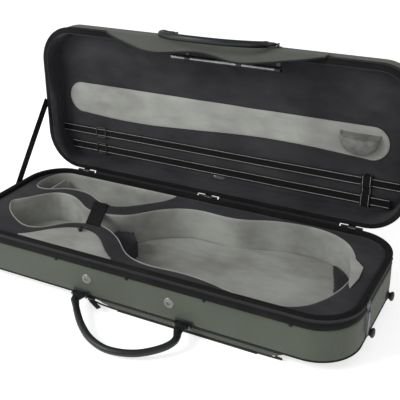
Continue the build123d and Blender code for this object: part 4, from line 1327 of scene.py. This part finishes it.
def carrying_handle(name, node, pivot, way, spine, body):
    """A stuffed leather grip along a spine of (across, out, over), between two folded and sewn tabs."""
    over = Vector((1, 0, 0)).cross(way)
    points = [pivot + Vector((x, 0, 0)) * MM + way * (out * MM) + over * (side * MM) for x, out, side in spine]
    path = smooth_path(points, 8)
    sagging = sum((point - pivot for point in path), Vector()) / len(path)
    sagging.x = 0
    normal = Vector((1, 0, 0)).cross(sagging.normalized())

    def swell(share):
        ends = min(share, 1 - share)
        factor = 0.93 + 0.07 * min(1, ends / 0.2)
        squash = 1 - 0.25 * max(0, 1 - ends / 0.03)
        return factor, factor * squash

    section = oval(TUBE_GRIP, TUBE_GRIP, 24)
    grip = sweep(name, path, section, normal, scale=swell)
    settle(grip, LEATHER, body, [node])
    seam = []
    middle = pivot + sagging * 0.3
    for first, second in zip(path[4:-5], path[5:-4]):
        along = (second - first).normalized()
        inward = (middle - first) - along * (middle - first).dot(along)
        inward.normalize()
        beside = along.cross(inward)
        for half in (0.25, 0.75):
            point = first.lerp(second, half)
            for edge in (-1, 1):
                seam.append((point + inward * (TUBE_GRIP * 0.9) + beside * (edge * TUBE_GRIP * 0.4), along))
    thread = stitches(name + "_stitching", seam, 2.6 * MM, 0.3 * MM)
    settle(thread, BLACK_THREAD, body)
    tabs, tab_seams = [], []
    for side, end_path in ((1, path), (-1, path[::-1])):
        root = Vector(pivot) + Vector((side * GRIP_HALF, 0, 0))

        def tab_place(distance):
            """The tab's middle and its way: straight out of the ring, then along the grip."""
            if distance <= NECK:
                return root + way * distance, way
            left = distance - NECK
            for first, second in zip(end_path, end_path[1:]):
                length = (second - first).length
                if left <= length:
                    break
                left -= length
            return first.lerp(second, left / length), (second - first).normalized()

        def tab_frame(distance):
            before = tab_place(max(distance - 4 * MM, -4 * MM))[1]
            along = (before + tab_place(distance + 4 * MM)[1]).normalized()
            across = (Vector((1, 0, 0)) - along * along.x).normalized()
            return tab_place(distance)[0], across, across.cross(along), along

        rings = []
        for distance, half_width, half_thick in TAB_STATIONS:
            centre, across, thick_way, along = tab_frame(distance * MM)
            squareness = 0.55 + 0.45 * min(max((distance - 10) / 15, 0), 1)
            rings.append(
                [
                    centre + across * a + thick_way * b
                    for a, b in oval(half_width * MM, half_thick * MM, 24, squareness)
                ]
            )
        tabs.append(loft("tab", rings))
        for distance in (5.5, 8.5, 11.5, 14.5, 17.5):
            half_width = float(np.interp(distance, [row[0] for row in TAB_STATIONS], [row[1] for row in TAB_STATIONS]))
            half_thick = float(np.interp(distance, [row[0] for row in TAB_STATIONS], [row[2] for row in TAB_STATIONS]))
            centre, across, thick_way, along = tab_frame(distance * MM)
            for surface in (-1, 1):
                for edge in (-1, 1):
                    point = centre + across * (edge * (half_width - 1.6) * MM)
                    point += thick_way * (surface * (half_thick * 0.95) * MM)
                    tab_seams.append((point, along))
    settle(join(name + "_tabs", tabs), LEATHER, body)
    settle(stitches(name + "_tab_stitching", tab_seams, 2.1 * MM, 0.3 * MM), BLACK_THREAD, body)


def handle_mounts(name, node, pivot, shut, body):
    """Two leather patches sewn to the wall, each with a ring bar in two lugs."""
    low, high = closed_box(node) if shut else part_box(node)
    if shut:
        pivot = CLOSED @ pivot
    patches, seams, bars = [], [], []
    for side in (-1, 1):
        centre = pivot.x + side * GRIP_HALF
        patch_low = (centre - 17.5 * MM, high.y - 2.0 * MM, low.z)
        patch_high = (centre + 17.5 * MM, high.y + 0.3 * MM, high.z)
        patches.append(block("patch", patch_low, patch_high, 1.0 * MM))
        inset = 2.2 * MM
        corners = [
            (patch_low[0] + inset, low.z + inset), (patch_high[0] - inset, low.z + inset),
            (patch_high[0] - inset, high.z - inset), (patch_low[0] + inset, high.z - inset),
        ]
        for (x, z), (next_x, next_z) in zip(corners, corners[1:] + corners[:1]):
            seams.extend(
                along_line((x, high.y - 2.05 * MM, z), (next_x, high.y - 2.05 * MM, next_z), 3 * MM)
            )
        for lug in (-15, 15):
            x = centre + lug * MM
            lug_low = (x - 1.8 * MM, low.y, pivot.z - 2.8 * MM)
            lug_high = (x + 1.8 * MM, high.y - 1.5 * MM, pivot.z + 2.8 * MM)
            bars.append(block("lug", lug_low, lug_high, 1.0 * MM))
        bar_profile = [
            (0.1 * MM, -16.5 * MM), (1.9 * MM, -16.5 * MM), (2.1 * MM, -15.8 * MM), (1.5 * MM, -14.5 * MM),
            (1.45 * MM, 14.5 * MM), (2.1 * MM, 15.8 * MM), (1.9 * MM, 16.5 * MM), (0.1 * MM, 16.5 * MM),
        ]
        bars.append(turned("bar", bar_profile, (centre, pivot.y, pivot.z), (1, 0, 0), 20))
    settle(join(name, patches), LEATHER, body, [node], shut)
    settle(stitches(name + "_stitching", seams, 2.0 * MM, 0.28 * MM), BLACK_THREAD, body, (), shut)
    settle(join(name + "_bars", bars), GUNMETAL, body, (), shut)


BASE_SPINE = (
    (105, 14, 0), (112, 38, 0), (99, 64, 0), (66, 90, 0), (22, 100, 0), (-18, 90, 0), (-52, 68, 0),
    (-82, 40, 0), (-105, 14, 0),
)
LID_SPINE = ((105, 14, 0), (104, 34, 0), (88, 60, 0), (50, 82, 0), (0, 88, 0))
LID_SPINE += tuple((-x, out, over) for x, out, over in reversed(LID_SPINE[:-1]))
LID_TILT = radians(9)
BASE_SLOPE = radians(6)
base_pivot = Vector(joints["base_handle_pivot"]["pos_m"])
lid_pivot = Vector(joints["lid_handle_pivot"]["pos_m"])
base_way = Vector((0, -cos(BASE_SLOPE), -sin(BASE_SLOPE)))
lid_way = OPEN.to_3x3() @ Vector((0, -sin(LID_TILT), -cos(LID_TILT)))
carrying_handle("handle_base", "base_handle", base_pivot, base_way, BASE_SPINE, "base_grip")
carrying_handle("handle_lid", "lid_handle", lid_pivot, lid_way, LID_SPINE, "lid_grip")
handle_mounts("anchors_base", "base_handle_anchors", base_pivot, False, "base")
handle_mounts("anchors_lid", "lid_handle_anchors", lid_pivot, True, "lid")

# ------------------------------------------------------------------ hardware on the base


def button_row(name, node, profile, material, out):
    """Turned fittings, one at each solid of a CAD node, facing out along -Y or along X."""
    points = node_points(node)
    groups = []
    for point in points:
        for group in groups:
            if np.linalg.norm(group[0] - point) < 30 * MM:
                group.append(point)
                break
        else:
            groups.append([point])
    pieces = []
    for group in groups:
        group = np.array(group)
        middle = (group.min(0) + group.max(0)) / 2
        way = Vector(out(middle))
        ends = group @ np.array(way)
        base = Vector(middle) + way * (float(ends.min()) - Vector(middle).dot(way))
        pieces.append(turned(name + "_one", profile, base, way))
    return settle(join(name, pieces), material, "base", [node])


def frontwards(middle):
    return (0, -1, 0)


rivet_profile = [
    (3.3 * MM, -0.3 * MM), (3.3 * MM, 0.3 * MM), (3.0 * MM, 0.8 * MM), (2.2 * MM, 1.2 * MM),
    (1.2 * MM, 1.45 * MM), (0.1 * MM, 1.5 * MM),
]
button_row("rivets_rim", "rim_rivets", rivet_profile, BLACK_METAL, frontwards)
stud_profile = [
    (9.9 * MM, -0.3 * MM), (10.0 * MM, 0.2 * MM), (9.5 * MM, 0.9 * MM), (8.2 * MM, 1.4 * MM),
    (6.6 * MM, 1.5 * MM), (5.2 * MM, 1.3 * MM), (4.4 * MM, 1.0 * MM), (3.9 * MM, 1.5 * MM),
    (3.2 * MM, 1.5 * MM), (2.9 * MM, 1.0 * MM), (2.7 * MM, 0.2 * MM), (0.1 * MM, 0.1 * MM),
]
button_row("studs_snap", "snap_studs", stud_profile, WORN_NICKEL, frontwards)
foot_profile = [
    (9.4 * MM, -0.6 * MM), (9.6 * MM, 0.6 * MM), (8.6 * MM, 1.6 * MM), (6.4 * MM, 2.4 * MM),
    (5.8 * MM, 4.0 * MM), (6.4 * MM, 5.6 * MM), (8.2 * MM, 7.0 * MM), (8.5 * MM, 9.0 * MM),
    (7.8 * MM, 10.9 * MM), (5.6 * MM, 11.9 * MM), (2.6 * MM, 12.0 * MM), (2.2 * MM, 11.4 * MM),
    (0.1 * MM, 11.3 * MM),
]
button_row(
    "feet_ends", "end_feet", foot_profile, RUBBER,
    lambda middle: (1 if middle[0] > 0 else -1, 0, 0),
)

slider_low, slider_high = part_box("zip_slider")
pull_pivot = Vector(joints["zip_pull_pivot"]["pos_m"])
slider_body = block(
    "slider_plate", (slider_low.x - 0.6 * MM, slider_low.y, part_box("base_zip_chain")[0].z - 2 * MM),
    (slider_low.x + 2.2 * MM, slider_high.y, slider_high.z), 0.9 * MM,
)
bridge_path = [
    (slider_low.x + 1.6 * MM, pull_pivot.y, slider_high.z - 3 * MM),
    (slider_high.x - 1.5 * MM, pull_pivot.y, slider_high.z - 5 * MM),
    (slider_high.x - 0.9 * MM, pull_pivot.y, pull_pivot.z + 6 * MM),
    (slider_high.x - 0.9 * MM, pull_pivot.y, pull_pivot.z + 1 * MM),
    (pull_pivot.x - 1.2 * MM, pull_pivot.y, pull_pivot.z - 2.2 * MM),
    (slider_low.x + 0.5 * MM, pull_pivot.y, pull_pivot.z + 1 * MM),
]
bridge = sweep("slider_bridge", bridge_path, oval(2.0 * MM, 0.7 * MM, 10, 0.7), (0, 1, 0))
slider = join("slider_zip", [slider_body, bridge])
settle(slider, GUNMETAL, "slider", ["zip_slider"])

pull_low, pull_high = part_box("zip_pull")
pull_rings = []
pull_length = pull_pivot.z - pull_low.z
pull_stations = (
    (-2.0, 2.4, 0.9), (0.0, 3.0, 1.0), (3.0, 3.0, 0.9), (6.0, 2.6, 0.9), (9.5, 4.2, 1.0), (12.0, 5.2, 1.1),
    (pull_length / MM - 5, 5.5, 1.2), (pull_length / MM - 1.5, 4.6, 1.1), (pull_length / MM, 2.6, 0.7),
)
for distance, half_width, half_thick in pull_stations:
    ring = []
    for a, b in oval(half_width * MM, half_thick * MM, 16, 0.6):
        ring.append((pull_pivot.x + b, pull_pivot.y + a, pull_pivot.z - distance * MM))
    pull_rings.append(ring)
zip_pull = loft("pull_zip", pull_rings)
settle(zip_pull, GUNMETAL, "pull", ["zip_pull"])

# ------------------------------------------------------------------ wells, pads and straps in the base

cover_loop = resample(outlines("storage_lid")[0], 3 * MM)
lid_low, lid_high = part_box("storage_lid")


def well_cover_height(points):
    """A velvet-covered board with rolled edges."""
    edge = gap_to(points, cover_loop)
    slack = np.array([soften((x, y, 0), 0.04, 0.4 * MM, 13.0) for x, y in points])
    return lid_high.z + 0.2 * MM - 1.0 * MM * np.exp(-edge / (1.2 * MM)) + slack


well_cover = flat_piece(
    "lid_storage", cover_loop, [], 5 * MM, well_cover_height, lid_low.z, (0.8 * MM, 2 * MM)
)
settle(well_cover, GREY, "storage_cover", ["storage_lid"])
knob_low, knob_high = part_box("storage_lid_knob")
knob_profile = [
    (4.2 * MM, 0.0), (4.2 * MM, 0.5 * MM), (2.8 * MM, 0.9 * MM), (2.6 * MM, 3.2 * MM), (4.4 * MM, 4.0 * MM),
    (5.4 * MM, 5.2 * MM), (5.5 * MM, 6.8 * MM), (4.6 * MM, 8.2 * MM), (2.4 * MM, 8.8 * MM), (0.1 * MM, 8.9 * MM),
]
knob_middle = (knob_low + knob_high) / 2
knob = turned("knob_storage", knob_profile, (knob_middle.x, knob_middle.y, knob_low.z), (0, 0, 1))
settle(knob, BLACK_PLASTIC, "storage_cover", ["storage_lid_knob"])

band_low, band_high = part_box("neck_strap")
band_loop = outlines("neck_strap")[0]
back_edge = band_loop[band_loop[:, 1] > (band_low.y + band_high.y) / 2]
front_edge = band_loop[band_loop[:, 1] < (band_low.y + band_high.y) / 2]
band_rings = []
for step in range(31):
    share = step / 30
    left = back_edge[:, 0].min() * (1 - share) + front_edge[:, 0].min() * share
    right = back_edge[:, 0].max() * (1 - share) + front_edge[:, 0].max() * share
    y = band_high.y + (band_low.y - band_high.y) * share
    sag = -1.2 * MM * sin(pi * share) + 0.3 * MM * noise.noise(Vector((share * 5, 0, 0)))
    middle = (left + right) / 2
    half = (right - left) / 2
    ring = []
    for a, b in ((-1, 0.3), (-1, 0.7), (-0.94, 1), (-0.7, 0.9), (0.7, 0.9), (0.94, 1), (1, 0.7), (1, 0.3), (0.94, 0), (-0.94, 0)):
        ring.append((middle + a * half, y, band_low.z + (band_high.z - band_low.z) * b + sag))
    band_rings.append(ring)
neck_band = loft("band_neck", band_rings)
settle(neck_band, STRAP, "neck_band", ["neck_strap"])


def pad(name, node, cap):
    """A foam block covered in velvet, from its CAD solid, puffed up as cloth over foam."""
    obj = frame["nodes"][node].copy()
    obj.data = obj.data.copy()
    obj.name = name
    obj.parent = None
    obj.matrix_world = Matrix.Identity(4)
    bpy.context.scene.collection.objects.link(obj)
    inflate(obj, 4 * MM, 4, cap)
    return obj


neck_pad = pad("pad_neck", "neck_pad", 1.6 * MM)
settle(neck_pad, CHARCOAL, "base", ["neck_pad"])
tail_pad = pad("pad_tail", "tail_pad", 1.6 * MM)
settle(tail_pad, CHARCOAL, "base", ["tail_pad"])
pouch = pad("pocket_bottom", "bottom_pocket", 1.5 * MM)
settle(pouch, GREEN, "base", ["bottom_pocket"])
pouch_points = node_points("bottom_pocket")
pouch_low, pouch_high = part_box("bottom_pocket")
front_edge = pouch_points[pouch_points[:, 1] < pouch_low.y + 1e-5]
under = {}
for x, y, z in front_edge:
    if x < pouch_high.x - 10 * MM:
        key = round(float(x), 4)
        under[key] = min(under.get(key, 1.0), float(z))
cords = []
for side in (-1, 1):
    line = [(x, side * (pouch_high.y - 1.4 * MM), max(z, 1.3 * MM) + 0.9 * MM) for x, z in sorted(under.items())]
    cords.append(sweep("cord", smooth_path(line, 6), oval(1.5 * MM, 1.5 * MM, 10), (0, 1, 0)))
pouch_cord = join("piping_pocket", cords)
settle(pouch_cord, BINDING, "base")

for name, node, material, width in (
    ("divider", "accessory_divider", GREY, 1.0 * MM),
    ("tab_tail", "tail_tab", GREY, 0.6 * MM),
    ("binding_pocket", "pocket_binding", BINDING, 0.6 * MM),
    ("zip_pocket", "pocket_zip", TAPE, 0.4 * MM),
    ("pull_pocket", "pocket_zip_pull", BLACK_PLASTIC, 0.7 * MM),
):
    obj = frame["nodes"][node].copy()
    obj.data = obj.data.copy()
    obj.name = name
    obj.parent = None
    obj.matrix_world = Matrix.Identity(4)
    bpy.context.scene.collection.objects.link(obj)
    round_edges(obj, width)
    body = "pocket_pull" if node == "pocket_zip_pull" else "base"
    settle(obj, material, body, [node])

# ------------------------------------------------------------------ stay ribbon

ribbon_points = node_points("stay_ribbon")
ribbon_low, ribbon_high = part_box("stay_ribbon")
start_points = ribbon_points[np.argsort(ribbon_points[:, 1])][:4].mean(0)
by_height = ribbon_points[np.argsort(ribbon_points[:, 2])]
lower_end = Vector(by_height[:4].mean(0))
upper_end = Vector(by_height[-4:].mean(0))
ribbon_x = (ribbon_low.x + ribbon_high.x) / 2
way = Vector((0, upper_end.y - lower_end.y, upper_end.z - lower_end.z))
side = Vector((0, way.z, -way.y)).normalized()
ribbon_rings = []
for step in range(61):
    share = step / 60
    centre = Vector((ribbon_x, lower_end.y, lower_end.z)) + way * share
    ring = []
    for a, b in ((-1, 0.35), (-0.95, 1), (-0.75, 0.8), (0.75, 0.8), (0.95, 1), (1, 0.35), (1, -0.35), (0.95, -1), (-0.95, -1), (-1, -0.35)):
        bow = 0.5 * MM * sin(pi * share)
        ring.append(centre + side * (a * 8.5 * MM) + Vector((b * 0.6 * MM - bow, 0, 0)))
    ribbon_rings.append(ring)
ribbon = loft("ribbon_stay", ribbon_rings)
ribbon.data.materials.append(STRAP)
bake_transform(ribbon)
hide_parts("stay_ribbon")

# ------------------------------------------------------------------ cloth over the hinge line

cover_parts = []
cover_points = node_points("hinge_cover")
cover_bottom, cover_top = cover_points[:, 2].min(), cover_points[:, 2].max()
for side in (-1, 1):
    chosen = cover_points[cover_points[:, 0] * side > 0]
    start, end = chosen[:, 0].min(), chosen[:, 0].max()
    back = HALF_WIDTH + 0.5 * MM
    turn = hinge.z + 1.6 * MM
    path = (
        (back, cover_bottom), (back, cover_bottom + 5 * MM), (back + 0.2 * MM, turn - 6 * MM),
        (back + 0.9 * MM, turn - 2.5 * MM), (back + 3.2 * MM, turn - 0.2 * MM),
        (back + 6 * MM, turn + 0.2 * MM), (chosen[:, 1].max(), turn + 0.3 * MM),
    )
    rings = []
    for x in np.linspace(start, end, 85):
        slack = 0.5 * MM * noise.noise(Vector((x / 0.02, 3.0, 1.0)))
        outer = [(x, y + 0.4 * MM, z + slack * (index > 2) + 0.35 * MM) for index, (y, z) in enumerate(path)]
        inner = [(x, y - 0.4 * MM, z + slack * (index > 2) - 0.35 * MM) for index, (y, z) in enumerate(path)]
        rings.append(outer + inner[::-1])
    cover_parts.append(loft("hinge_cloth", rings))
hinge_cloth = join("cloth_hinge", cover_parts)
hinge_cloth.data.materials.append(BINDING)
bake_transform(hinge_cloth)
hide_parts("hinge_cover")

# ------------------------------------------------------------------ camera, light and floor

AZIMUTH = radians(28.12)
ELEVATION = radians(25.85)
ROLL = radians(-0.81)
DISTANCE = 1.680
TARGET = Vector((-0.08833, 0.28556, UNDERSIDE))
LENS = 66.7


def set_camera():
    back = Vector((sin(AZIMUTH) * cos(ELEVATION), -cos(AZIMUTH) * cos(ELEVATION), sin(ELEVATION)))
    level = Vector((0, 0, 1)).cross(back).normalized()
    upright = back.cross(level)
    right = level * cos(ROLL) + upright * sin(ROLL)
    up = back.cross(right)
    camera = bpy.data.objects.new("camera", bpy.data.cameras.new("camera"))
    camera.data.lens = LENS
    camera.data.sensor_width = 36
    camera.matrix_world = Matrix.Translation(TARGET + back * DISTANCE) @ Matrix(
        (
            (right.x, up.x, back.x, 0),
            (right.y, up.y, back.y, 0),
            (right.z, up.z, back.z, 0),
            (0, 0, 0, 1),
        )
    )
    bpy.context.scene.collection.objects.link(camera)
    bpy.context.scene.camera = camera


def area_light(name, place, aim, size, power):
    light = bpy.data.lights.new(name, "AREA")
    light.energy = power
    light.size = size
    obj = bpy.data.objects.new(name, light)
    obj.location = place
    obj.rotation_euler = (Vector(aim) - Vector(place)).to_track_quat("-Z", "Y").to_euler()
    bpy.context.scene.collection.objects.link(obj)


set_camera()
area_light("key", (-2.1, -2.0, 1.9), (0, 0, 0.15), 1.5, 66)
area_light("fill", (2.6, -1.8, 1.4), (0, 0, 0.1), 2.2, 10)
world = bpy.data.worlds.new("studio")
world.use_nodes = True
world_nodes = world.node_tree.nodes
world_links = world.node_tree.links
backdrop = world_nodes["Background"]
backdrop.inputs["Color"].default_value = (1, 1, 1, 1)
ambient_share = world_nodes.new("ShaderNodeMapRange")
ambient_share.inputs["To Min"].default_value = 0.45
ambient_share.inputs["To Max"].default_value = 1.0
seen_ray = world_nodes.new("ShaderNodeLightPath")
world_links.new(seen_ray.outputs["Is Camera Ray"], ambient_share.inputs["Value"])
world_links.new(ambient_share.outputs["Result"], backdrop.inputs["Strength"])
bpy.context.scene.world = world
bpy.context.scene.view_settings.view_transform = "Standard"

floor_shader = Shader("floor", 0.7)
floor_shader.colour((0.93, 0.93, 0.93, 1.0))
floor_shader.surface.inputs["Emission Color"].default_value = (1, 1, 1, 1)
floor_shader.surface.inputs["Emission Strength"].default_value = 0.6
floor_size = 12
floor = make_object(
    "floor",
    [(-floor_size, -floor_size, cad_low.z), (floor_size, -floor_size, cad_low.z),
     (floor_size, floor_size, cad_low.z), (-floor_size, floor_size, cad_low.z)],
    [(0, 1, 2, 3)],
)
floor.data.materials.append(floor_shader.material)
